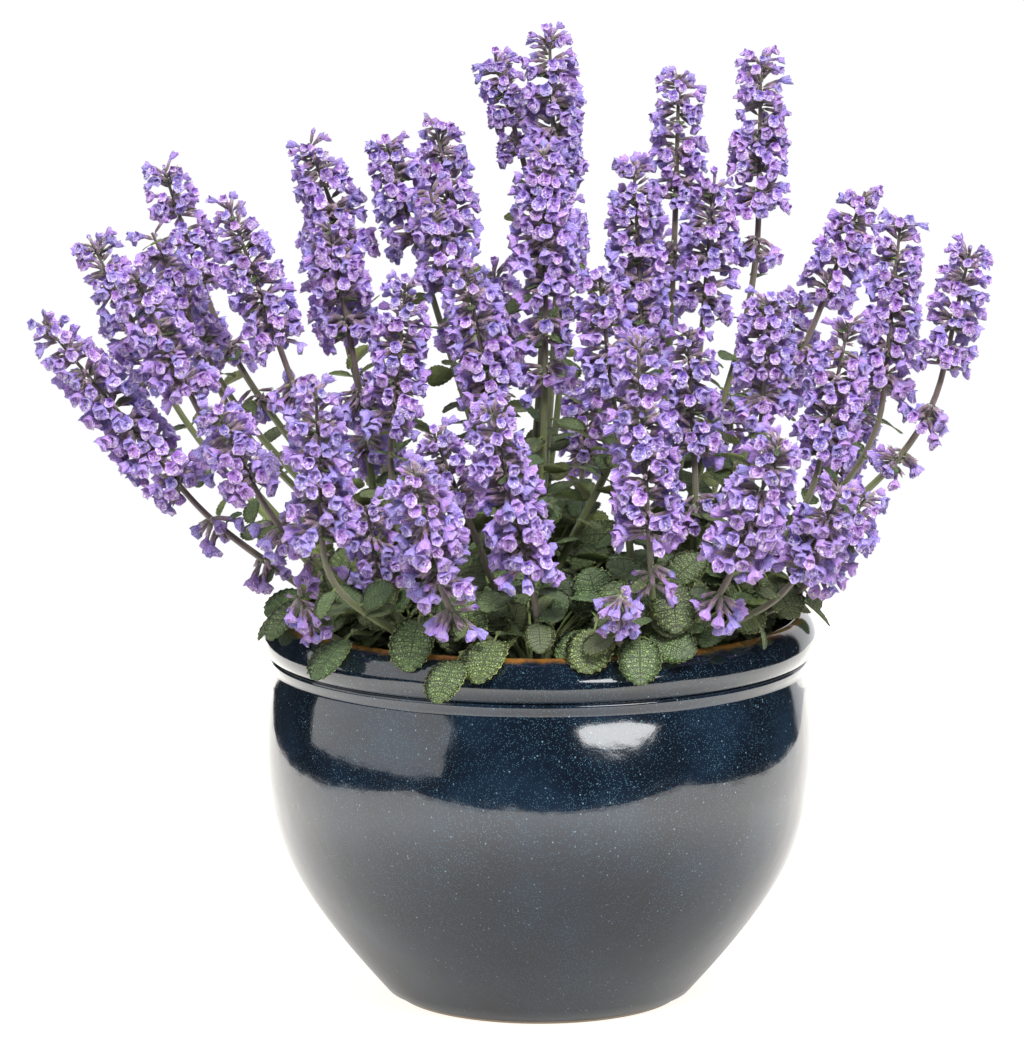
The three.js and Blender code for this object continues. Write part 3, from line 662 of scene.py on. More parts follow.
# a stem's crown, where its dense spike starts, where it ends, the reach of its flowers from
# the middle of the spike, and how far below the spike its separate whorls sit
stemColumns = ("crown", "start", "tip", "reach", "below")
floweringStems = [
    (1, (-0.188, -0.045, 0.282), (-0.268, -0.040, 0.379), 0.020, (0.023, 0.057)),
    (1, (-0.202, 0.002, 0.334), (-0.243, 0.010, 0.415), 0.019, ()),
    (1, (-0.183, -0.064, 0.336), (-0.216, -0.066, 0.408), 0.018, (0.028,)),
    (8, (-0.182, 0.050, 0.345), (-0.214, 0.060, 0.416), 0.017, ()),
    (8, (-0.184, 0.092, 0.373), (-0.209, 0.105, 0.446), 0.018, (0.036, 0.066)),
    (1, (-0.139, -0.015, 0.357), (-0.167, -0.010, 0.436), 0.018, (0.024, 0.056)),
    (8, (-0.102, 0.074, 0.392), (-0.129, 0.084, 0.462), 0.020, ()),
    (1, (-0.101, -0.005, 0.358), (-0.114, 0.000, 0.428), 0.019, (0.030, 0.056)),
    (9, (-0.066, 0.050, 0.401), (-0.085, 0.060, 0.465), 0.018, ()),
    (7, (-0.046, 0.112, 0.396), (-0.058, 0.128, 0.468), 0.018, ()),
    (9, (-0.049, 0.005, 0.385), (-0.060, 0.010, 0.445), 0.017, (0.022,)),
    (9, (-0.025, -0.050, 0.330), (-0.041, -0.049, 0.411), 0.019, ()),
    (7, (-0.009, 0.110, 0.443), (-0.026, 0.121, 0.504), 0.015, ()),
    (7, (0.009, 0.062, 0.436), (0.005, 0.072, 0.525), 0.019, ()),
    (9, (0.003, 0.000, 0.382), (0.002, 0.004, 0.466), 0.020, (0.018, 0.040)),
    (2, (-0.078, -0.048, 0.316), (-0.070, -0.034, 0.399), 0.018, ()),
    (6, (0.075, 0.090, 0.421), (0.077, 0.100, 0.499), 0.017, (0.026,)),
    (9, (0.055, 0.008, 0.362), (0.050, 0.020, 0.458), 0.018, ()),
    (6, (0.089, 0.036, 0.368), (0.095, 0.044, 0.446), 0.019, ()),
    (6, (0.119, 0.055, 0.419), (0.120, 0.060, 0.512), 0.018, (0.017,)),
    (6, (0.156, 0.078, 0.368), (0.182, 0.094, 0.434), 0.018, (0.028,)),
    (5, (0.184, -0.005, 0.328), (0.194, 0.010, 0.430), 0.018, ()),
    (5, (0.213, -0.045, 0.347), (0.229, -0.040, 0.421), 0.017, (0.022, 0.052)),
    (5, (0.117, -0.058, 0.328), (0.119, -0.054, 0.396), 0.018, ()),
    (5, (0.147, -0.078, 0.305), (0.163, -0.073, 0.385), 0.019, ()),
    (4, (0.039, -0.060, 0.330), (0.030, -0.055, 0.406), 0.018, ()),
    (4, (0.056, -0.136, 0.272), (0.049, -0.128, 0.384), 0.020, (0.018,)),
    (5, (0.082, -0.036, 0.300), (0.078, -0.022, 0.374), 0.018, (0.026,)),
    (4, (0.100, -0.148, 0.262), (0.124, -0.178, 0.338), 0.020, (0.024,)),
    (5, (0.144, -0.090, 0.246), (0.174, -0.106, 0.296), 0.019, ()),
    (4, (0.134, -0.127, 0.254), (0.158, -0.145, 0.306), 0.019, ()),
    (2, (-0.148, -0.100, 0.292), (-0.172, -0.108, 0.343), 0.019, (0.026, 0.050)),
    (2, (-0.112, -0.145, 0.272), (-0.115, -0.152, 0.362), 0.020, ()),
    (2, (-0.082, -0.104, 0.242), (-0.092, -0.112, 0.294), 0.017, ()),
    (3, (-0.051, -0.160, 0.252), (-0.066, -0.196, 0.325), 0.020, (0.018,)),
    (3, (-0.006, -0.142, 0.256), (-0.028, -0.158, 0.352), 0.020, ()),
    (3, (-0.040, -0.096, 0.282), (-0.058, -0.098, 0.328), 0.016, ()),
    (2, (-0.116, -0.106, 0.222), (-0.129, -0.117, 0.242), 0.013, ()),
    (4, (0.040, -0.152, 0.232), (0.042, -0.168, 0.254), 0.015, ()),
    (8, (-0.182, 0.130, 0.322), (-0.207, 0.150, 0.388), 0.018, ()),
    (8, (-0.110, 0.158, 0.345), (-0.126, 0.182, 0.412), 0.018, ()),
    (7, (-0.022, 0.182, 0.312), (-0.025, 0.208, 0.376), 0.018, ()),
    (7, (0.014, 0.178, 0.345), (0.014, 0.205, 0.418), 0.018, ()),
    (7, (0.060, 0.172, 0.325), (0.068, 0.198, 0.398), 0.018, ()),
    (6, (0.132, 0.146, 0.300), (0.150, 0.168, 0.366), 0.018, ()),
    (8, (-0.088, 0.190, 0.256), (-0.098, 0.226, 0.308), 0.018, ()),
    (7, (0.026, 0.204, 0.256), (0.030, 0.240, 0.306), 0.018, ()),
    (6, (0.104, 0.186, 0.258), (0.118, 0.218, 0.308), 0.018, ()),
    (5, (0.160, 0.078, 0.262), (0.182, 0.094, 0.322), 0.018, ()),
]

# shoots without flowers at the front, as a crown and an end; the rest stand round the sides
frontShoots = [
    (3, (-0.041, -0.135, 0.212)),
    (3, (-0.022, -0.127, 0.221)),
    (2, (-0.062, -0.115, 0.230)),
    (4, (0.029, -0.127, 0.228)),
    (4, (0.051, -0.133, 0.223)),
    (4, (0.066, -0.110, 0.250)),
    (2, (-0.098, -0.101, 0.217)),
    (1, (-0.122, -0.068, 0.231)),
    (5, (0.137, -0.062, 0.265)),
    (5, (0.117, -0.078, 0.246)),
]
sideShoots = {"angles": (-4, 26, 56, 84, 112, 140, 170, 198), "radius": 0.131, "height": 0.224}

stemForm = {
    "startHeight": 0.190, "circle": 0.006, "fan": math.radians(37), "reach": 0.36, "rise": 0.35,
    "root": 0.0034, "tip": 0.0022, "stretch": 0.100, "steps": 200, "clear": 0.0004, "spikeLoss": 0.6,
}
whorlRule = {"spacing": 0.0175, "separate": 0.86, "narrowing": 0.40, "narrowFrom": 0.45, "narrowPower": 1.4}


class Stem:                  # a flowering stem or a shoot, with the route of its middle line
    def __init__(self, number, row, start):
        self.number = number
        self.crown = row["crown"]
        self.flowers = "tip" in row
        end = Vector(row["start"])
        if self.flowers:
            tip = Vector(row["tip"])
            arriving = (tip - end).normalized()
        else:
            outward = Vector((end.x, end.y, 0)).normalized()
            arriving = outward.lerp(up, 0.12).normalized()
        bend = (end - start).length * stemForm["reach"]
        leaving = (end - start).normalized().lerp(up, stemForm["rise"]).normalized()
        controls = (start, start + leaving * bend, end - arriving * bend, end)
        steps = stemForm["steps"]
        curve = Route([bezier(controls, step / steps) for step in range(steps + 1)])
        self.spikeAt = curve.length
        self.whorls = self.makeWhorls(row, curve.length, (tip - end).length) if self.flowers else []
        self.full = Route(curve.points + [tip]) if self.flowers else curve
        self.bareEnd = curve.length
        if self.flowers:
            first = self.whorls[0]
            self.bareEnd = first["at"] - first["spacing"] / 2 - stemForm["clear"]
        stretches = max(2, math.ceil(self.bareEnd / stemForm["stretch"]))
        self.line = Route([curve.at(self.bareEnd * step / stretches)[0] for step in range(stretches + 1)])

    def makeWhorls(self, row, bottom, length):
        rule = whorlRule
        count = max(2, int(length / rule["spacing"] + 0.5))
        spacing = length / count
        dense = []
        for index in range(count):
            share = (index + 0.5) / count
            narrow = max(0, (share - rule["narrowFrom"]) / (1 - rule["narrowFrom"])) ** rule["narrowPower"]
            dense.append({
                "at": bottom + (index + 0.5) * spacing, "spacing": spacing, "share": share,
                "reach": row["reach"] * (1 - rule["narrowing"] * narrow)})
        apart = [{
            "at": bottom - distance, "spacing": rule["spacing"], "share": -1.0,
            "reach": row["reach"] * rule["separate"]} for distance in row["below"]]
        return apart[::-1] + dense

    def thickness(self, distance):   # corner to middle, thinner still inside the spike
        share = min(distance / self.spikeAt, 1)
        side = stemForm["root"] + share * (stemForm["tip"] - stemForm["root"])
        if self.flowers and distance > self.spikeAt:
            inSpike = (distance - self.spikeAt) / (self.full.length - self.spikeAt)
            side *= 1 - stemForm["spikeLoss"] * inSpike
        return side * math.sqrt(0.5)


def crownStarts(crown, ends):        # side by side, in the order of the ways that the stems lean
    x, y = crown
    middle = sum(ends, Vector((0, 0, 0)))
    middleAngle = math.atan2(middle.y - y * len(ends), middle.x - x * len(ends))

    def lean(index):
        angle = math.atan2(ends[index].y - y, ends[index].x - x) - middleAngle
        return math.atan2(math.sin(angle), math.cos(angle))

    order = sorted(range(len(ends)), key=lean)
    starts = []
    for index in range(len(ends)):
        angle = middleAngle + (order.index(index) - (len(ends) - 1) / 2) * stemForm["fan"]
        starts.append(outwardAt(angle) * stemForm["circle"] + Vector((x, y, stemForm["startHeight"])))
    return starts


def layOutStems():
    rows = [dict(zip(stemColumns, row)) for row in floweringStems + frontShoots]
    for degrees in sideShoots["angles"]:
        end = outwardAt(math.radians(degrees)) * sideShoots["radius"] + up * sideShoots["height"]
        gaps = [math.hypot(end.x - x, end.y - y) for x, y in crowns]
        rows.append({"crown": gaps.index(min(gaps)) + 1, "start": end})
    stems = [None] * len(rows)
    for crown in range(1, len(crowns) + 1):
        own = [index for index, row in enumerate(rows) if row["crown"] == crown]
        ends = [Vector(rows[index]["start"]) for index in own]
        for index, start in zip(own, crownStarts(crowns[crown - 1], ends)):
            stems[index] = Stem(index + 1, rows[index], start)
    return stems


stems = layOutStems()
print("layout:", len(stems), "stems on", len(crowns), "crowns")


# square stems with the stalks of their leaves

stemLook = {"green": "#5c6c34", "purple": "#4b3340", "wood": "#54452c", "pale": "#9aa070"}
# flat: how far the side of a square stem is from its middle, against a corner
sectionForm = {"corners": 8, "flat": 0.70, "step": 0.0075, "spikeBlend": 0.03}
crownForm = {"low": 0.1765, "high": 0.1945, "root": 0.0076, "top": 0.0052, "steps": 5, "knots": 0.14}
stalkForm = {"leaf": 0.00062, "crownLeaf": 0.00085, "arch": 0.12, "short": 0.012, "wide": 1.25,
             "taper": 0.35}
# from 0 to 1 a stem turns from wood to green and on to purple
tints = {"crown": 0.03, "stalk": 0.3, "start": 0.05, "shoot": 0.45, "stem": 0.5, "own": 0.3, "spike": 0.2}


def makeStemLook():
    paint = coloursOf(stemLook)
    material, graph, shader = newMaterial("squareStems")
    tint = graph.attribute("tint")
    grain = mottled(graph, 160.0, 1500.0, 0.5)
    purple = graph.ramped(graph.math("MULTIPLY_ADD", grain, 0.3, tint), 0.40, 1.0)
    body = graph.mixed(purple, paint["green"], paint["purple"])
    body = graph.mixed(graph.ramped(tint, 0.0, 0.16), paint["wood"], body)
    body = graph.mixed(graph.math("MULTIPLY", grain, 0.22), body, paint["pale"])
    wire(graph, shader, {
        "Base Color": body, "Roughness": 0.6, "Sheen Weight": 0.2, "Sheen Roughness": 0.5,
        "Normal": bumped(graph, grain, 0.0003, 0.6)})
    return material


def stemTree():              # sweeps a ridged square section along every edge run of the source
    graph, given, result = newTree("sweptStems", "GeometryNodeTree", [
        ("Lines", "Geometry", None), ("Section corners", "Int", 8), ("Flat", "Float", 0.7),
        ("Material", "Material", None)], [("Stems", "Geometry")])
    curves = graph.get("GeometryNodeMeshToCurve", (given["Lines"],))
    curves = graph.get("GeometryNodeSetCurveNormal", {
        "Curve": curves, "Normal": graph.named("side", "FLOAT_VECTOR")}, mode="FREE")
    section = graph.get("GeometryNodeCurvePrimitiveCircle", {
        "Resolution": given["Section corners"], "Radius": 1.0})
    odd = graph.math("MODULO", graph.get("GeometryNodeInputIndex"), 2.0)
    position = graph.scaled(graph.get("GeometryNodeInputPosition"),
                            graph.blended(odd, 1.0, given["Flat"]))
    section = graph.get("GeometryNodeSetPosition", {"Geometry": section, "Position": position})
    swept = graph.get("GeometryNodeCurveToMesh", {
        "Curve": curves, "Profile Curve": section, "Scale": graph.named("reach"), "Fill Caps": True})
    smooth = graph.get("GeometryNodeSetShadeSmooth", {"Geometry": swept})
    return graph.finish(smooth, result["Stems"], (given["Material"], True))


def stemRows(stem):          # points along a stem, evenly spaced
    length = stem.whorls[-1]["at"] if stem.flowers else stem.full.length
    count = math.ceil(length / sectionForm["step"])
    rows = []
    for step in range(count + 1):
        distance = length * step / count
        point, direction = stem.full.at(distance)
        share = distance / stem.spikeAt
        tint = tints["start"] + tints["shoot"] * share
        if stem.flowers:
            inSpike = min(1, max(0.0, (distance - stem.bareEnd) / sectionForm["spikeBlend"]))
            tint = min(1.0, tints["start"] + tints["stem"] * share + tints["own"] * scatter(stem.number)
                       + tints["spike"] * inSpike)
        rows.append({"place": point, "side": squareTo(direction)[0], "reach": stem.thickness(distance),
                     "tint": tint * min(1, 0.05 + share * 6)})
    return rows


def crownRows(crown):        # the woody base that the stems of a clump leave from
    form = crownForm
    rows = []
    for step in range(form["steps"] + 1):
        share = step / form["steps"]
        knot = 1 + form["knots"] * (scatter(crown * 7 + step) - 0.5)
        rows.append({
            "place": Vector((*crowns[crown - 1], form["low"] + share * (form["high"] - form["low"]))),
            "side": squareTo(up)[0], "tint": tints["crown"],
            "reach": (form["root"] + share ** 2 * (form["top"] - form["root"])) * knot})
    return rows


def stalkRows(leaf):         # a leaf's stalk from its root to its blade, arching a little
    form = stalkForm
    root, joint = leaf["root"], leaf["joint"]
    length = (joint - root).length
    bend = length * form["arch"]
    rows = []
    steps = 2 if length < form["short"] else 4
    for step in range(steps + 1):
        share = step / steps
        point = root.lerp(joint, share) + up * bend * math.sin(math.pi * share)
        rows.append({"place": point, "side": leaf["across"], "tint": tints["stalk"],
                     "reach": leaf["stalkReach"] * (form["wide"] - form["taper"] * share)})
    return rows


def makeStems(crown, leaves, tree, look):
    own = [stem for stem in stems if stem.crown == crown]
    rows, edges = [], []
    runs = [crownRows(crown)] + [stemRows(stem) for stem in own] + [stalkRows(leaf) for leaf in leaves]
    for run in runs:
        edges += [(len(rows) + i, len(rows) + i + 1) for i in range(len(run) - 1)]
        rows += run
    piece = grown(f"clump_{crown}_stems", pointsFrom("stemLines", rows, edges), tree, {
        "Section corners": sectionForm["corners"], "Flat": sectionForm["flat"], "Material": look})
    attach(piece, "root")
    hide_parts(f"leafy_clump_{crown}")


# leaves: rounded blades with round teeth, folded along the midrib and quilted between their veins

bladeForm = {
    "middle": 0.46, "halfLength": 0.5, "halfWidth": 0.43, "roundness": 0.72, "ribEnd": 0.92,
    "notch": 0.92, "fold": 0.16, "droop": 0.22, "thick": 0.022, "edgeThick": 0.001, "quilt": 0.011,
    "perTooth": 2, "bands": 2, "weld": 0.0004,
}
# shapes to pick from: full ones for large leaves and plain ones for small leaves and bracts
bladeKinds = [
    {"teeth": 10, "fold": 0.16, "droop": 0.22, "twist": 0.0, "wide": 1.0},
    {"teeth": 10, "fold": 0.20, "droop": 0.28, "twist": 0.10, "wide": 1.08},
    {"teeth": 10, "fold": 0.08, "droop": 0.16, "twist": -0.08, "wide": 1.12},
    {"teeth": 5, "fold": 0.24, "droop": 0.30, "twist": 0.06, "wide": 1.0},
    {"teeth": 5, "fold": 0.14, "droop": 0.18, "twist": -0.06, "wide": 1.0},
]
fullKinds, plainKinds = 3, 2
# grooveShade is a painted shade for the sunken veins and the gaps between the domes
leafLook = {
    "grooveShade": "#2e4014", "dome": "#8ea662", "fresh": "#74904c", "margin": "#ced88c", "under": "#98a85a",
    "veinWidth": 0.11, "midribWidth": 0.07, "domeWidth": 0.30, "margins": (0.90, 1.0),
    "cellsAround": 2.5, "cellsAcross": 8.0, "wobble": (1.6, 1.6, 0.0), "wobbleScale": 0.8,
    "quilt": 0.0024,
}
cadLeaf = {                          # sizes that the solid leaves have
    "shootTip": 0.028, "crown": 0.027, "shoot": 0.025, "stem": 0.018,
    "stemStalk": 0.007, "crownStalk": 0.017, "perCrown": 3, "found": 0.0006,
    "notch": 0.88, "edges": (5, 7, 9), "tip": 0.97, "longStem": 0.110, "onStem": 0.55, "onShoot": 0.74,
}
extraLeaves = {                      # pairs up the stems, more on long stalks, and bracts
    "gap": 0.021, "first": 0.020, "low": 0.0275, "high": 0.0125, "missing": 0.10, "plainBelow": 0.015,
    "stalk": 0.008, "stalkLoss": 0.005, "roll": 1.2,
    "perCrown": 27, "crownSmall": 0.021, "crownLarge": 0.028, "crownStalk": 0.016,
    "crownStalkMore": 0.040, "bract": 0.0075, "bractStalk": 0.0035,
}
potClear = {"inner": 0.132, "outer": 0.159, "inside": 0.193, "high": 0.2145}


def bladeMesh(kind):                 # one unit long, from the end of its stalk along X, face up
    form = bladeForm
    edges, bands = kind["teeth"] * form["perTooth"], form["bands"]
    bm = bmesh.new()
    layers = {name: bm.verts.layers.float.new(name) for name in ("vein", "outer")}
    under = bm.faces.layers.float.new("under")
    uv = bm.loops.layers.uv.new("UVMap")

    def bend(x, y):
        return kind["fold"] * abs(y) - kind["droop"] * x * x + kind["twist"] * x * y

    grids = {}
    for half in (1, -1):
        for edge in range(edges + 1):
            angle = math.pi * edge / edges
            inNotch = edge % form["perTooth"] == 0
            tooth = form["notch"] if inNotch and 0 < edge < edges else 1.0
            outX = form["middle"] - form["halfLength"] * tooth * math.cos(angle)
            outY = form["halfWidth"] * kind["wide"] * tooth * max(0, math.sin(angle)) ** form["roundness"]
            ribX = form["ribEnd"] * (edge / edges) ** 1.2
            for band in range(bands + 1):
                share = band / bands
                x = ribX + (outX - ribX) * share ** 1.15
                y = half * outY * share
                quilt = form["quilt"] * math.sin(math.pi * min(1, share * 1.1)) * (-1 if inNotch else 1)
                thick = form["thick"] * (1 - share ** 2) + form["edgeThick"]
                for face in (1, -1):
                    if face < 0 and band not in (0, bands):
                        continue
                    vert = bm.verts.new((x, y, bend(x, y) + quilt + face * thick / 2))
                    if band == bands:
                        vert.co.z = bend(x, y)
                    vert[layers["vein"]] = edge / form["perTooth"]
                    vert[layers["outer"]] = share
                    grids[half, edge, band, face] = vert
    for half in (1, -1):
        for face in (1, -1):
            step = 1 if face > 0 else bands      # the underside is one plain band
            for edge in range(edges):
                for band in range(0, bands, step):
                    corners = [grids[half, edge, band, face], grids[half, edge + 1, band, face],
                               grids[half, edge + 1, band + step, face],
                               grids[half, edge, band + step, face]]
                    if half * face < 0:
                        corners.reverse()
                    made = bm.faces.new(corners)
                    made.smooth = True
                    made[under] = 1.0 if face < 0 else 0.0
    bmesh.ops.remove_doubles(bm, verts=bm.verts, dist=form["weld"])
    bmesh.ops.dissolve_degenerate(bm, edges=bm.edges, dist=form["weld"])
    for face in bm.faces:
        for loop in face.loops:
            loop[uv].uv = (loop.vert.co.x, loop.vert.co.y + 0.5)
    return meshFrom(bm, "blade")


def makeLeafLook():
    look, paint = leafLook, coloursOf(leafLook)
    material, graph, shader = newMaterial("crenateLeaf")
    vein, outer = graph.attribute("vein"), graph.attribute("outer")
    # small domes between sunken veins: cells drawn out from the midrib to the margin, with a painted shade
    # in the veins and between the domes
    aroundEdge = graph.math("MULTIPLY_ADD", graph.attribute("tone"), 30.0,
                            graph.math("MULTIPLY", vein, look["cellsAround"]))
    cellPlace = graph.get("ShaderNodeCombineXYZ", (
        aroundEdge, graph.math("MULTIPLY", outer, look["cellsAcross"])))
    wobble = graph.get("ShaderNodeTexNoise", {
        "Vector": cellPlace, "Scale": look["wobbleScale"]}, "Color")
    cellPlace = graph.vector("MULTIPLY_ADD", wobble, look["wobble"], cellPlace)
    cells = graph.node("ShaderNodeTexVoronoi", {"Vector": cellPlace, "Scale": 1.0},
                       feature="DISTANCE_TO_EDGE", voronoi_dimensions="2D")
    dome = graph.ramped(cells.outputs["Distance"], 0.0, look["domeWidth"])
    # lateral veins run to the notches, so they sit where the vein number is whole
    lateral = graph.ramped(graph.math("PINGPONG", vein, 0.5), 0.0, look["veinWidth"])
    midrib = graph.ramped(outer, 0.0, look["midribWidth"])
    reliefAndShadeMask = graph.math("MULTIPLY", dome, graph.math("MULTIPLY", lateral, midrib))
    body = graph.mixed(mottled(graph, 90.0, 900.0), paint["fresh"], paint["dome"])
    # painted shade: the groove colour darkens the sunken veins and the gaps between the domes, which keep
    # the leaf's own green
    body = graph.mixed(graph.math("MULTIPLY_ADD", reliefAndShadeMask, 0.95, 0.08), paint["grooveShade"], body)
    margin = graph.math("MULTIPLY", graph.ramped(outer, *look["margins"]), 0.8)
    body = graph.mixed(margin, body, paint["margin"])
    body = graph.mixed(graph.attribute("under"), body, paint["under"])
    wire(graph, shader, {
        "Base Color": toned(graph, body, 0.05, 0.5), "Roughness": 0.6, "Sheen Weight": 0.15,
        "Sheen Roughness": 0.5, "Normal": bumped(graph, reliefAndShadeMask, look["quilt"])})
    return material


def leafTree():                      # sets a blade on every point, along its forward and face
    graph, given, result = newTree("setLeaves", "GeometryNodeTree", [
        ("Points", "Geometry", None), ("Kinds", "Collection", None), ("Material", "Material", None)],
        [("Leaves", "Geometry")])
    rotation = graph.get("FunctionNodeAxesToRotation", {
        "Primary Axis": graph.named("forward", "FLOAT_VECTOR"),
        "Secondary Axis": graph.named("face", "FLOAT_VECTOR")}, primary_axis="X", secondary_axis="Z")
    leaves = graph.copied(given["Points"], given["Kinds"], graph.named("kind", "INT"), rotation,
                          graph.named("size"))
    return graph.finish(leaves, result["Leaves"], (given["Material"], True))


def leaf(root, direction, face, length, stalk, number, plain=False, thick="leaf", roll=0.0):
    forward = direction.normalized()
    across = face.cross(forward).normalized()
    across = around(across, forward.cross(across), roll)
    count = plainKinds if plain else fullKinds
    kind = min(count - 1, int(count * scatter(number * 3.7))) + (fullKinds if plain else 0)
    return {"root": root, "joint": root + forward * stalk, "forward": forward, "across": across,
            "face": forward.cross(across), "size": length, "kind": kind, "tone": scatter(number * 5.3),
            "stalkReach": stalkForm[thick]}


def pairAngle(stem, pair, half):     # opposite leaves, each pair a quarter turn from the last
    return stem.number * 1.3 + (pair / 2 + half) * math.pi


def onSolid(made, tree):             # whether the solid clump holds a leaf of this place and size
    length, form = made["size"], bladeForm

    def at(x, y, lift=0.0):
        rise = lift + form["fold"] * abs(y) - form["droop"] * x * x / length
        return made["joint"] + made["forward"] * x + made["across"] * y + made["face"] * rise

    tests = [at(cadLeaf["tip"] * length, 0)]
    for edges in cadLeaf["edges"]:
        middle = (edges - 1) // 2
        angle = math.pi * middle / edges
        tooth = length * (1 if middle % 2 else cadLeaf["notch"])
        x = length * form["middle"] - form["halfLength"] * tooth * math.cos(angle)
        y = form["halfWidth"] * tooth * math.sin(angle) ** form["roundness"]
        tests += [at(x, y), at(x, -y)]
    return sum(tree.find(test)[2] < cadLeaf["found"] for test in tests) >= 2


def clearOfPot(made):
    for share in (0.0, 0.5, 1.0):
        point = made["joint"] + made["forward"] * made["size"] * share
        radius = math.hypot(point.x, point.y)
        if point.z < potClear["inside"] and radius < potClear["inner"]:
            return False
        if point.z < potClear["high"] and potClear["inner"] < radius < potClear["outer"]:
            return False
    return True


def solidLeaves(crown, own, tree):   # the leaves that the solid clump has, by the same rule
    found = []

    def tryLeaves(options):
        for option in options:
            if onSolid(option, tree):
                found.append(option)
                return

    for stem in own:
        if not stem.flowers:
            outward = stem.line.at(stem.line.length)[1]
            outward = Vector((outward.x, outward.y, 0)).normalized()
            tryLeaves([leaf(
                stem.line.at(stem.line.length * cadLeaf["tip"])[0],
                outward - up * (0.45 + 0.5 * scatter(stem.number)), up + outward * 0.5,
                cadLeaf["shootTip"], cadLeaf["stemStalk"], stem.number)])
    index = crown - 1
    for number in range(cadLeaf["perCrown"]):
        options = []
        for turn in (0, 0.35, -0.35):
            outward = outwardAt(index * 1.1 + number / cadLeaf["perCrown"] * 2 * math.pi + turn)
            x, y = crowns[index]
            options.append(leaf(
                Vector((x, y, soilForm["middleHeight"] + 0.004)) + outward * 0.002,
                outward + up * (0.35 + 0.55 * scatter(index * 17 + number)), up - outward * 0.2,
                cadLeaf["crown"], cadLeaf["crownStalk"], index * 7 + number, thick="crownLeaf"))
        tryLeaves(options)
    for stem in own:
        long = stem.line.length > cadLeaf["longStem"] and stem.number % 3 == 0
        if stem.flowers and not long:
            continue
        share, length, pair = cadLeaf["onShoot"], cadLeaf["shoot"], 1
        if stem.flowers:
            share, length, pair = cadLeaf["onStem"], cadLeaf["stem"], 2
        root, direction = stem.line.at(stem.line.length * share)
        side, front = squareTo(direction)
        for half in (0, 1):
            size = length * (0.92 + 0.16 * scatter(stem.number * 13 + pair * 5 + half))
            rise = 0.25 * scatter(stem.number * 7 + pair + half)
            options = []
            for turn in (0, 0.5, -0.5, 1, -1):
                outward = around(side, front, pairAngle(stem, pair, half) + turn)
                options.append(leaf(
                    root, outward + direction * 0.35 + up * rise,
                    direction + up * 0.6 - outward * 0.3, size, cadLeaf["stemStalk"],
                    stem.number * 11 + half))
            tryLeaves(options)
    return found


def stemPairs(stem):                 # further pairs up a stem, each a quarter turn from the last
    rule = extraLeaves
    made = []
    count = int((stem.bareEnd - rule["first"]) / rule["gap"])
    for pair in range(count):
        distance = rule["first"] + (pair + 0.5) * rule["gap"]
        share = distance / stem.bareEnd
        root, direction = stem.full.at(distance)
        side, front = squareTo(direction)
        for half in (0, 1):
            draw = stem.number * 29 + pair * 7 + half
            if scatter(draw) < rule["missing"]:
                continue
            size = (rule["low"] + (rule["high"] - rule["low"]) * share) * (0.8 + 0.35 * scatter(draw + 0.5))
            outward = around(side, front, pairAngle(stem, pair, half) + 0.5 * scatter(draw + 0.3))
            droop = 0.35 - 0.9 * scatter(draw + 0.7)
            made.append(leaf(
                root, outward + direction * (0.4 - 0.3 * share) + up * droop,
                direction + up * 0.5 + outward * 0.6, size,
                rule["stalk"] - rule["stalkLoss"] * share, draw, size < rule["plainBelow"],
                roll=rule["roll"] * (scatter(draw + 0.9) - 0.5)))
    return made


def crownLeaves(crown):              # a mound of leaves on long stalks over the soil
    rule = extraLeaves
    x, y = crowns[crown - 1]
    made = []
    for number in range(rule["perCrown"]):
        draw = crown * 53 + number
        outward = outwardAt(crown * 1.3 + number * 2.4)
        steep = 0.5 + 1.6 * scatter(draw)
        stalk = rule["crownStalk"] + rule["crownStalkMore"] * scatter(draw + 0.5)
        root = Vector((x, y, soilForm["middleHeight"] + 0.003)) + outward * 0.004
        climb = (outward + up * steep).normalized()
        tip = leaf(root, outward + up * (0.25 - 0.9 * scatter(draw + 0.2)), up + outward * 0.9,
                   rule["crownSmall"] + (rule["crownLarge"] - rule["crownSmall"]) * scatter(draw + 0.8),
                   0.0, draw, thick="crownLeaf", roll=rule["roll"] * (scatter(draw + 0.4) - 0.5))
        tip["joint"] = root + climb * stalk
        made.append(tip)
    return made


def bracts(stem):                    # a pair of small leaves under each whorl
    made = []
    for index, whorl in enumerate(stem.whorls):
        point, direction = stem.full.at(whorl["at"] - 0.3 * whorl["spacing"])
        side, front = squareTo(direction)
        size = extraLeaves["bract"] * (1.5 if whorl["share"] < 0 else 1.25 - 0.6 * whorl["share"])
        for half in (0, 1):
            draw = stem.number * 17 + index * 3 + half
            outward = around(side, front, pairAngle(stem, index, half))
            made.append(leaf(point, outward + direction * 0.1 - up * 0.2 * scatter(draw),
                             direction - outward * 0.2, size * (0.85 + 0.3 * scatter(draw + 0.5)),
                             extraLeaves["bractStalk"], draw, True))
    return made


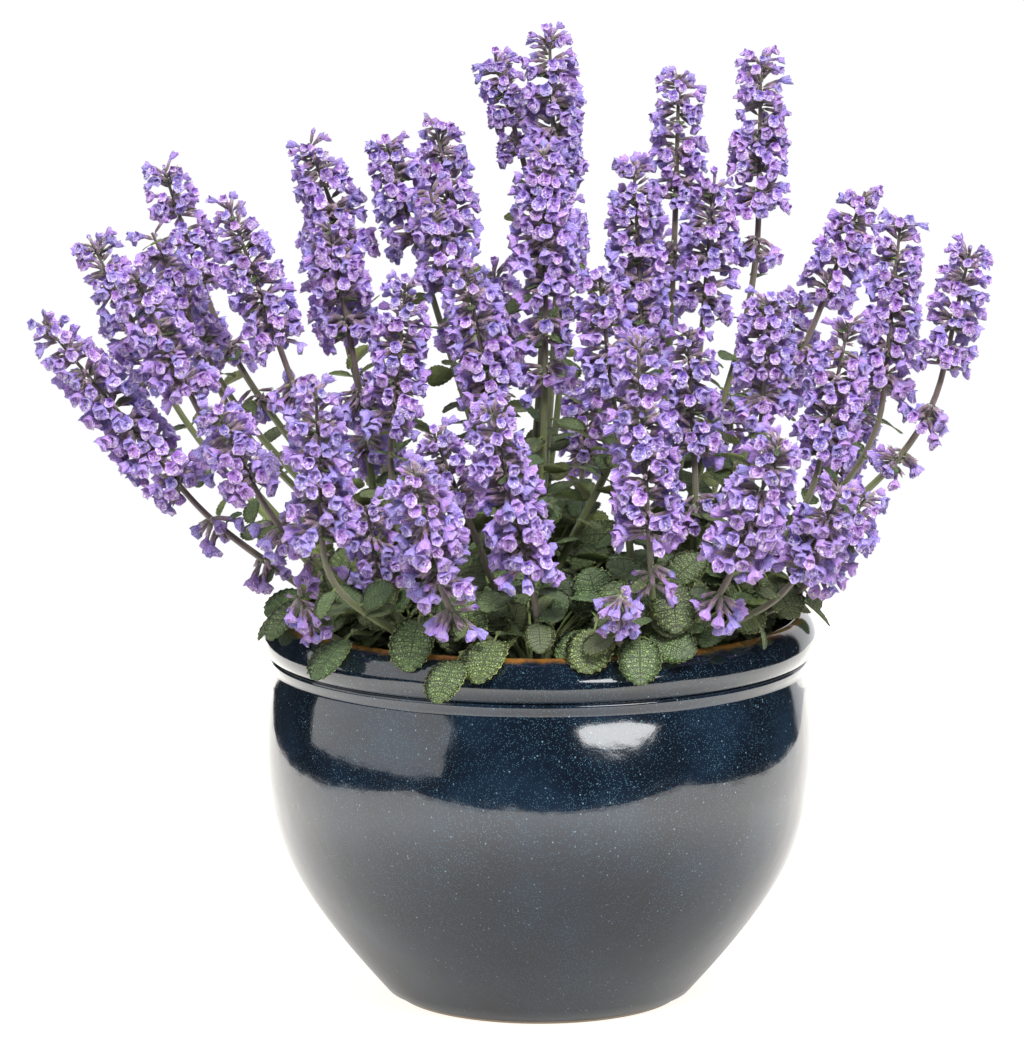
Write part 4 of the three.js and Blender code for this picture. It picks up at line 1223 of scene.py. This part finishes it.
def makeClumps():
    kinds = makeKinds("blade", [bladeMesh(kind) for kind in bladeKinds])
    look, stemsLook = makeLeafLook(), makeStemLook()
    setLeaves, sweptStems = leafTree(), stemTree()
    total = 0
    for crown in range(1, len(crowns) + 1):
        solid = frame["nodes"][f"leafy_clump_{crown}"].data
        tree = KDTree(len(solid.vertices))
        for vert in solid.vertices:
            tree.insert(vert.co, vert.index)
        tree.balance()
        own = [stem for stem in stems if stem.crown == crown]
        leaves = solidLeaves(crown, own, tree)
        print(f"clump {crown}: {len(leaves)} leaves of the solid found")
        more = crownLeaves(crown)
        for stem in own:
            more += stemPairs(stem) + bracts(stem)
        leaves += [each for each in more if clearOfPot(each)]
        total += len(leaves)
        makeStems(crown, leaves, sweptStems, stemsLook)
        rows = [{"place": each["joint"], "forward": each["forward"], "face": each["face"],
                 "size": each["size"], "kind": each["kind"], "tone": each["tone"]} for each in leaves]
        piece = grown(f"clump_{crown}_leaves", pointsFrom("leafPoints", rows), setLeaves, {
            "Kinds": kinds, "Material": look})
        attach(piece, "root")
        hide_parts(f"leafy_clump_{crown}")
    dropKinds(kinds)
    print("leaves:", total)


makeClumps()


# flower spikes: whorls of two-lipped flowers that leave the stem upward and nod at the mouth

# radius at angles round the mouth from the right, anticlockwise, and how far it stands forward
lipShape = [
    (-90, 4.2, 2.0), (-56, 4.4, 1.1), (-22, 3.8, 1.2), (14, 2.9, 0.4), (50, 3.2, 1.0),
    (90, 2.2, 0.8), (130, 3.2, 1.0), (166, 2.9, 0.4), (202, 3.8, 1.2), (236, 4.4, 1.1),
]
floretForm = {               # lengths in millimetres along the flower from the stem
    "straight": 4.5, "length": 16.5, "tube": ((6.2, 0.75), (11.9, 1.20)), "tubeSides": 5,
    "flare": (11.0, 1.05), "bowl": (12.5, 0.76), "mouth": 14.6, "throat": 12.9,
    "calyx": ((3.4, 1.10), (7.4, 0.95), (10.0, 1.55)), "calyxFloor": 6.6, "calyxSides": 6,
    "bud": ((5.6, 0.7), (10.4, 1.6)), "budEnd": 13.2, "budSides": 6, "lipBase": 1.5,
    "waveShare": 0.4, "shortAhead": 3, "bowlAhead": 0.25, "cup": 0.60, "cupAhead": 0.3, "cupBack": 0.2,
    "swell": 2.3,
}
# open flowers, one that is opening, a bud, and a calyx whose flower has dropped
floretKinds = [
    {"bend": 0.60, "lip": 1.06, "flare": 0.8, "ruffle": 0.50, "opens": True, "flower": True},
    {"bend": 0.90, "lip": 1.12, "flare": 0.6, "ruffle": 0.60, "opens": True, "flower": True},
    {"bend": 0.35, "lip": 1.00, "flare": 1.0, "ruffle": 0.60, "opens": True, "flower": True},
    {"bend": 0.45, "lip": 0.66, "flare": 1.6, "ruffle": 0.30, "opens": True, "flower": True},
    {"bend": 0.55, "opens": False, "flower": True},
    {"bend": 0.25, "opens": False, "flower": False},
]
floretRule = {
    "reach": 0.0176, "seed": 11, "perWhorl": 31, "perSeparate": 23, "perTop": 22,
    "lowBelow": 0.266, "perLow": 13, "nod": 0.12, "separateNod": 0.45, "lowNod": 0.8,
    "lowest": -0.30, "steepest": 0.75, "topLift": 0.75, "spread": (0.30, 0.46), "youngFrom": 0.62,
    "smallest": 0.80, "separateReach": 1.12, "bare": 0.1, "separateBare": 0.3,
    "opening": (0.1, 0.3), "buds": (0.06, 0.4), "lowered": (0.1, 0.5),   # always, and for young ones
    "turn": 2.39996, "wobble": 0.3, "roll": 0.8, "upward": 0.6, "offStem": 0.0008, "sizes": (0.86, 1.08),
}
# throat is a painted shade colour for the inside of the throat
petalLook = {
    "body": "#bc84ff", "lip": "#d0aaff", "edge": "#f0dcff", "hood": "#a468f6", "throat": "#8248d4",
    "spot": "#7028b0", "fleck": "#faeeff", "back": "#b488ff", "crease": "#a66cf6",
    "lowerLip": (0.56, 0.30), "hooded": (0.50, 0.66), "throatShadeRange": (0.60, 0.42), "middle": (0.5, 0.54, 0.0),
    "creases": (2.6, 7.0, 40.0), "crimp": (1.6, 2.0), "crimped": (0.36, 0.66),
    "fringe": (0.66, 0.96), "fringeBelow": (0.64, 0.44, 0.25, 1.0), "outward": (0.4, 0.75),
    "flecks": (8.0, 0.24, 0.42, 3.0), "flecked": (0.60, 0.40),
    "spots": (7.0, 0.22, 0.40, 0.0), "spotted": (0.97, 0.76),
}
calyxLook = {"dark": "#462f42", "rib": "#947e8c", "green": "#6c7646", "teeth": "#b29aa6"}


def floretMesh(number, kind):        # grows from the origin along Z, with its upper side to Y
    form = floretForm
    radius = (form["length"] - form["straight"]) / kind["bend"]
    bm = bmesh.new()
    petal = bm.faces.layers.float.new("petal")
    back = bm.faces.layers.float.new("back")
    along = bm.verts.layers.float.new("along")
    uv = bm.loops.layers.uv.new("UVMap")
    flat = {}

    def at(distance, angle, size, forward=0.0):
        turned = max(0.0, distance - form["straight"]) / radius
        centre = Vector((0, -radius * (1 - math.cos(turned)),
                         min(distance, form["straight"]) + radius * math.sin(turned)))
        ahead = Vector((0, -math.sin(turned), math.cos(turned)))
        upper = Vector((0, math.cos(turned), math.sin(turned)))
        turn = math.radians(angle)
        x, y = size * math.cos(turn), size * math.sin(turn)
        vert = bm.verts.new((centre + Vector((x, 0, 0)) + upper * y + ahead * forward) * 0.001)
        flat[vert] = (0.5 + x / 12, 0.5 + y / 12)
        return vert

    def join(lower, upper, isPetal, shares):
        for face in joinRings(bm, (lower, upper)):
            face[petal] = isPetal
        for ring, value in zip((lower, upper), shares):
            for vert in ring:
                vert[along] = value

    def close(ring, point, isPetal, value, inward=False):
        point[along] = value
        for index in range(len(ring)):
            corners = [ring[index], ring[(index + 1) % len(ring)], point]
            face = bm.faces.new(corners[::-1] if inward else corners)
            face[petal] = isPetal

    def ringOf(sides, distance, size):
        return [at(distance, 360 * side / sides, size) for side in range(sides)]

    sides = form["calyxSides"]
    (low, lowSize), (notch, notchSize), (tooth, toothSize) = form["calyx"]
    belly = ringOf(sides, low, lowSize)
    rim = [at(tooth, 360 * side / sides, toothSize) if side % 2 else
           at(notch, 360 * side / sides, notchSize) for side in range(sides)]
    close(belly, at(0, 0, 0), 0.0, 0.0, inward=True)
    join(belly, rim, 0.0, (0.3, 1.0))
    close(rim, at(form["calyxFloor"], 0, 0), 0.0, 0.7)
    if kind["flower"] and not kind["opens"]:
        rings = [ringOf(form["budSides"], *each) for each in form["bud"]]
        join(rings[0], rings[1], 1.0, (0.3, 0.8))
        close(rings[1], at(form["budEnd"], 0, 0), 1.0, 0.85)
    if kind["opens"]:
        join(*[ringOf(form["tubeSides"], *each) for each in form["tube"]], 1.0, (0.2, 0.45))
        tube = [at(form["flare"][0], angle, form["flare"][1]) for angle, _, _ in lipShape]
        bowl, edge, cup = [], [], []
        base = form["lipBase"]
        for index, (angle, size, forward) in enumerate(lipShape):
            wave = kind["ruffle"] * (scatter(number * 31 + index) - 0.5) * 2
            size = base + (size - base) * kind["lip"] + wave * form["waveShare"]
            ahead = forward * kind["flare"] + wave + (1 - kind["lip"]) * form["shortAhead"]
            bowl.append(at(form["bowl"][0], angle, form["bowl"][1] * size, form["bowlAhead"] * ahead))
            edge.append(at(form["mouth"], angle, size, ahead))
            # the lower lip swells forward between its throat and its edge
            swell = form["swell"] * max(0.0, -math.sin(math.radians(angle)))
            cup.append(at(form["mouth"], angle, form["cup"] * size,
                          form["cupAhead"] * ahead - form["cupBack"] + swell))
        join(tube, bowl, 1.0, (0.45, 0.8))
        join(bowl, edge, 1.0, (0.8, 1.0))
        for face in bm.faces:
            face[back] = face[petal]
        join(edge, cup, 1.0, (1.0, 0.7))
        close(cup, at(form["throat"], 90, 0.7), 1.0, 0.4)
        for a, b in zip(edge, edge[1:] + edge[:1]):
            bm.edges.get((a, b)).smooth = False
    for face in bm.faces:
        face.smooth = True
        for loop in face.loops:
            loop[uv].uv = flat[loop.vert]
    return meshFrom(bm, "floret")


def makePetalLook():
    look, paint = petalLook, coloursOf(petalLook)
    material, graph, shader = newMaterial("violetPetals")
    along, tone = graph.attribute("along"), graph.attribute("tone")
    flat = graph.get("ShaderNodeUVMap", uv_map="UVMap")
    height = graph.partsOf(flat)["Y"]
    body = graph.mixed(graph.ramped(height, *look["lowerLip"]), paint["body"], paint["lip"])
    body = graph.mixed(graph.ramped(height, *look["hooded"]), body, paint["hood"])
    # painted shade: the flower darkens into its throat
    body = graph.mixed(graph.ramped(along, *look["throatShadeRange"]), body, paint["throat"])
    # creases run out from the throat to the crimped edge
    middle = graph.vector("SUBTRACT", flat, look["middle"])
    parts = graph.partsOf(middle)
    polar = (graph.math("ARCTAN2", parts["Y"], parts["X"]), graph.lengthOf(middle), tone)
    streaks = graph.get("ShaderNodeCombineXYZ", [
        graph.math("MULTIPLY", value, scale) for value, scale in zip(polar, look["creases"])])
    crimp = graph.ramped(graph.grain(streaks, *look["crimp"]), *look["crimped"])
    body = graph.mixed(graph.math("MULTIPLY_ADD", crimp, -0.5, 0.5), body, paint["crease"])
    fringe = graph.math("MULTIPLY", graph.ramped(along, *look["fringe"]), graph.math(
        "MULTIPLY_ADD", crimp, 0.7, 0.3))
    fringe = graph.math("MULTIPLY", fringe, graph.ramped(height, *look["fringeBelow"]))
    body = graph.mixed(fringe, body, paint["edge"])

    def dots(scale, low, high, shift):   # round dots, other ones on every flower
        moved = graph.vector("ADD", flat, graph.scaled((1.0, 1.7, 0.0), graph.math(
            "MULTIPLY_ADD", tone, 9.0, shift)))
        cell = graph.node("ShaderNodeTexVoronoi", {"Vector": moved, "Scale": scale}, feature="F1")
        return graph.ramped(cell.outputs["Distance"], high, low)

    flecks = graph.math("MULTIPLY", dots(*look["flecks"]), graph.ramped(height, *look["flecked"]))
    body = graph.mixed(flecks, body, paint["fleck"])
    spots = graph.math("MULTIPLY", dots(*look["spots"]), graph.ramped(along, *look["spotted"]))
    body = graph.mixed(spots, body, paint["spot"])
    grain = mottled(graph, 500.0, 2500.0, 0.4)
    outside = graph.mixed(graph.ramped(along, *look["outward"]), paint["hood"], paint["back"])
    outside = graph.mixed(graph.math("MULTIPLY", crimp, 0.45), outside, paint["edge"])
    body = graph.mixed(graph.attribute("back"), body, outside)
    body = graph.mixed(graph.math("MULTIPLY", grain, 0.2), body, paint["edge"])
    wire(graph, shader, {
        "Base Color": toned(graph, body, 0.06, 0.34), "Roughness": 0.5, "Sheen Weight": 0.2,
        "Sheen Roughness": 0.4, "Normal": bumped(graph, graph.math("ADD", crimp, grain), 0.0011)})
    return material


def makeCalyxLook():
    paint = coloursOf(calyxLook)
    material, graph, shader = newMaterial("downyCalyx")
    along = graph.attribute("along")
    grain = mottled(graph, 400.0, 2400.0, 0.5)
    body = graph.mixed(graph.math("MULTIPLY", grain, 0.7), paint["dark"], paint["rib"])
    body = graph.mixed(graph.ramped(along, 0.45, 0.0), body, paint["green"])
    body = graph.mixed(graph.ramped(along, 0.75, 1.0, 0.0, 0.6), body, paint["teeth"])
    wire(graph, shader, {
        "Base Color": toned(graph, body, 0.04, 0.7), "Roughness": 0.7, "Sheen Weight": 0.4,
        "Sheen Roughness": 0.5})
    return material


def spikeTree():             # copies each whorl's point for its flowers and sets a flower on every copy
    rule = floretRule
    graph, given, result = newTree("whorledFlowers", "GeometryNodeTree", [
        ("Whorls", "Geometry", None), ("Kinds", "Collection", None), ("Seed", "Int", 0),
        ("Lowest", "Float", 0.0), ("Steepest", "Float", 1.0),
        ("Calyx", "Material", None), ("Petals", "Material", None)], [("Flowers", "Geometry")])
    named = graph.named

    def drawn(low, high, number):    # a random value for each flower
        seed = graph.math("ADD", given["Seed"], float(number))
        return graph.get("FunctionNodeRandomValue", {"Min": low, "Max": high, "Seed": seed}, "Value")

    copies = graph.node("GeometryNodeDuplicateElements", {
        "Geometry": given["Whorls"], "Amount": named("flowers", "INT")}, domain="POINT")
    index = copies.outputs["Duplicate Index"]
    marked = graph.get("GeometryNodeStoreNamedAttribute", {
        "Geometry": copies.outputs["Geometry"], "Name": "order", "Value": index},
        data_type="INT", domain="POINT")
    axis, side = named("axis", "FLOAT_VECTOR"), named("side", "FLOAT_VECTOR")
    angle = graph.math("MULTIPLY_ADD", named("order", "INT"), rule["turn"], named("turn"))
    angle = graph.math("ADD", angle, drawn(-rule["wobble"], rule["wobble"], 1))
    front = graph.vector("CROSS_PRODUCT", axis, side)
    outward = graph.vector("ADD", graph.scaled(side, graph.math("COSINE", angle)),
                           graph.scaled(front, graph.math("SINE", angle)))
    lift = graph.math("ADD", drawn(given["Lowest"], given["Steepest"], 2), named("lift"))
    direction = graph.vector("ADD", graph.scaled(outward, graph.math("COSINE", lift)),
                             graph.scaled(axis, graph.math("SINE", lift)))
    direction = graph.vector("SUBTRACT", direction, graph.scaled((0.0, 0.0, 1.0), named("nod")))
    rise = graph.math("MULTIPLY", named("spread"), drawn(-1.0, 1.0, 3))
    offset = graph.vector("ADD", graph.scaled(axis, rise), graph.scaled(outward, rule["offStem"]))
    moved = graph.get("GeometryNodeSetPosition", {"Geometry": marked, "Offset": offset})
    upright = graph.vector("ADD", axis, (0.0, 0.0, rule["upward"]))
    sideways = graph.vector("CROSS_PRODUCT", outward, axis)
    rolled = graph.vector("ADD", upright, graph.scaled(sideways, drawn(-rule["roll"], rule["roll"], 4)))
    rotation = graph.get("FunctionNodeAxesToRotation", {
        "Primary Axis": direction, "Secondary Axis": rolled}, primary_axis="Z", secondary_axis="Y")
    size = graph.math("MULTIPLY", named("size"), drawn(*rule["sizes"], 5))
    # open flowers are kinds 0 to 2, opening ones 3, buds 4 and bare calyces 5
    pick = graph.math("FLOOR", drawn(0.0, 2.999, 6))

    def chosen(chance, number, no, yes):
        return graph.blended(graph.math("LESS_THAN", drawn(0.0, 1.0, number), chance), no, yes)

    pick = chosen(named("opening"), 7, pick, 3.0)
    pick = chosen(named("buds"), 8, pick, 4.0)
    pick = chosen(named("bare"), 9, pick, 5.0)
    flowers = graph.copied(moved, given["Kinds"], pick, rotation, size)
    flowers = graph.get("GeometryNodeStoreNamedAttribute", {
        "Geometry": flowers, "Name": "tone", "Value": drawn(0.0, 1.0, 10)}, domain="INSTANCE")
    isPetal = graph.math("GREATER_THAN", named("petal"), 0.5)
    return graph.finish(flowers, result["Flowers"], (given["Calyx"], True), (given["Petals"], isPetal))


def whorlRows(stem):
    rule = floretRule

    def grownBy(key, amount):
        start, more = rule[key]
        return start + more * amount

    rows = []
    for index, whorl in enumerate(stem.whorls):
        point, direction = stem.full.at(whorl["at"])
        apart = whorl["share"] < 0
        young = max(0.0, (whorl["share"] - rule["youngFrom"]) / (1 - rule["youngFrom"]))
        low = point.z < rule["lowBelow"] and (apart or len(stem.whorls) < 3)
        count = rule["perWhorl"] + (rule["perTop"] - rule["perWhorl"]) * young
        if low or apart:
            count = rule["perLow"] if low else rule["perSeparate"]
        size = whorl["reach"] / rule["reach"] * (rule["separateReach"] if apart else 1)
        narrow, wide = rule["spread"]
        rows.append({
            "place": point - direction * grownBy("lowered", young) * whorl["spacing"], "axis": direction,
            "side": squareTo(direction)[0], "size": max(size, rule["smallest"]),
            "flowers": round(count), "turn": stem.number * 1.7 + index * 0.9,
            "nod": rule["lowNod"] if low else rule["separateNod"] if apart else rule["nod"] * (1 - young),
            "lift": rule["topLift"] * young * young,
            "spread": whorl["spacing"] * (narrow + (wide - narrow) * scatter(stem.number * 1.3)),
            "opening": grownBy("opening", young), "buds": grownBy("buds", young ** 2),
            "bare": rule["separateBare" if apart else "bare"]})
    return rows


def makeSpikes():
    kinds = makeKinds("floret", [floretMesh(number, kind) for number, kind in enumerate(floretKinds)])
    graph = spikeTree()
    petals, calyces = makePetalLook(), makeCalyxLook()
    faces = 0
    for stem in stems:
        if not stem.flowers:
            continue
        piece = grown(f"spike_{stem.number:02d}", pointsFrom("whorls", whorlRows(stem)), graph, {
            "Kinds": kinds, "Seed": floretRule["seed"] + stem.number, "Lowest": floretRule["lowest"],
            "Steepest": floretRule["steepest"], "Calyx": calyces, "Petals": petals})
        faces += len(piece.data.polygons)
        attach(piece, "root")
        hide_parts(f"flower_spike_{stem.number:02d}")
    dropKinds(kinds)
    print("spikes:", faces, "faces")


makeSpikes()
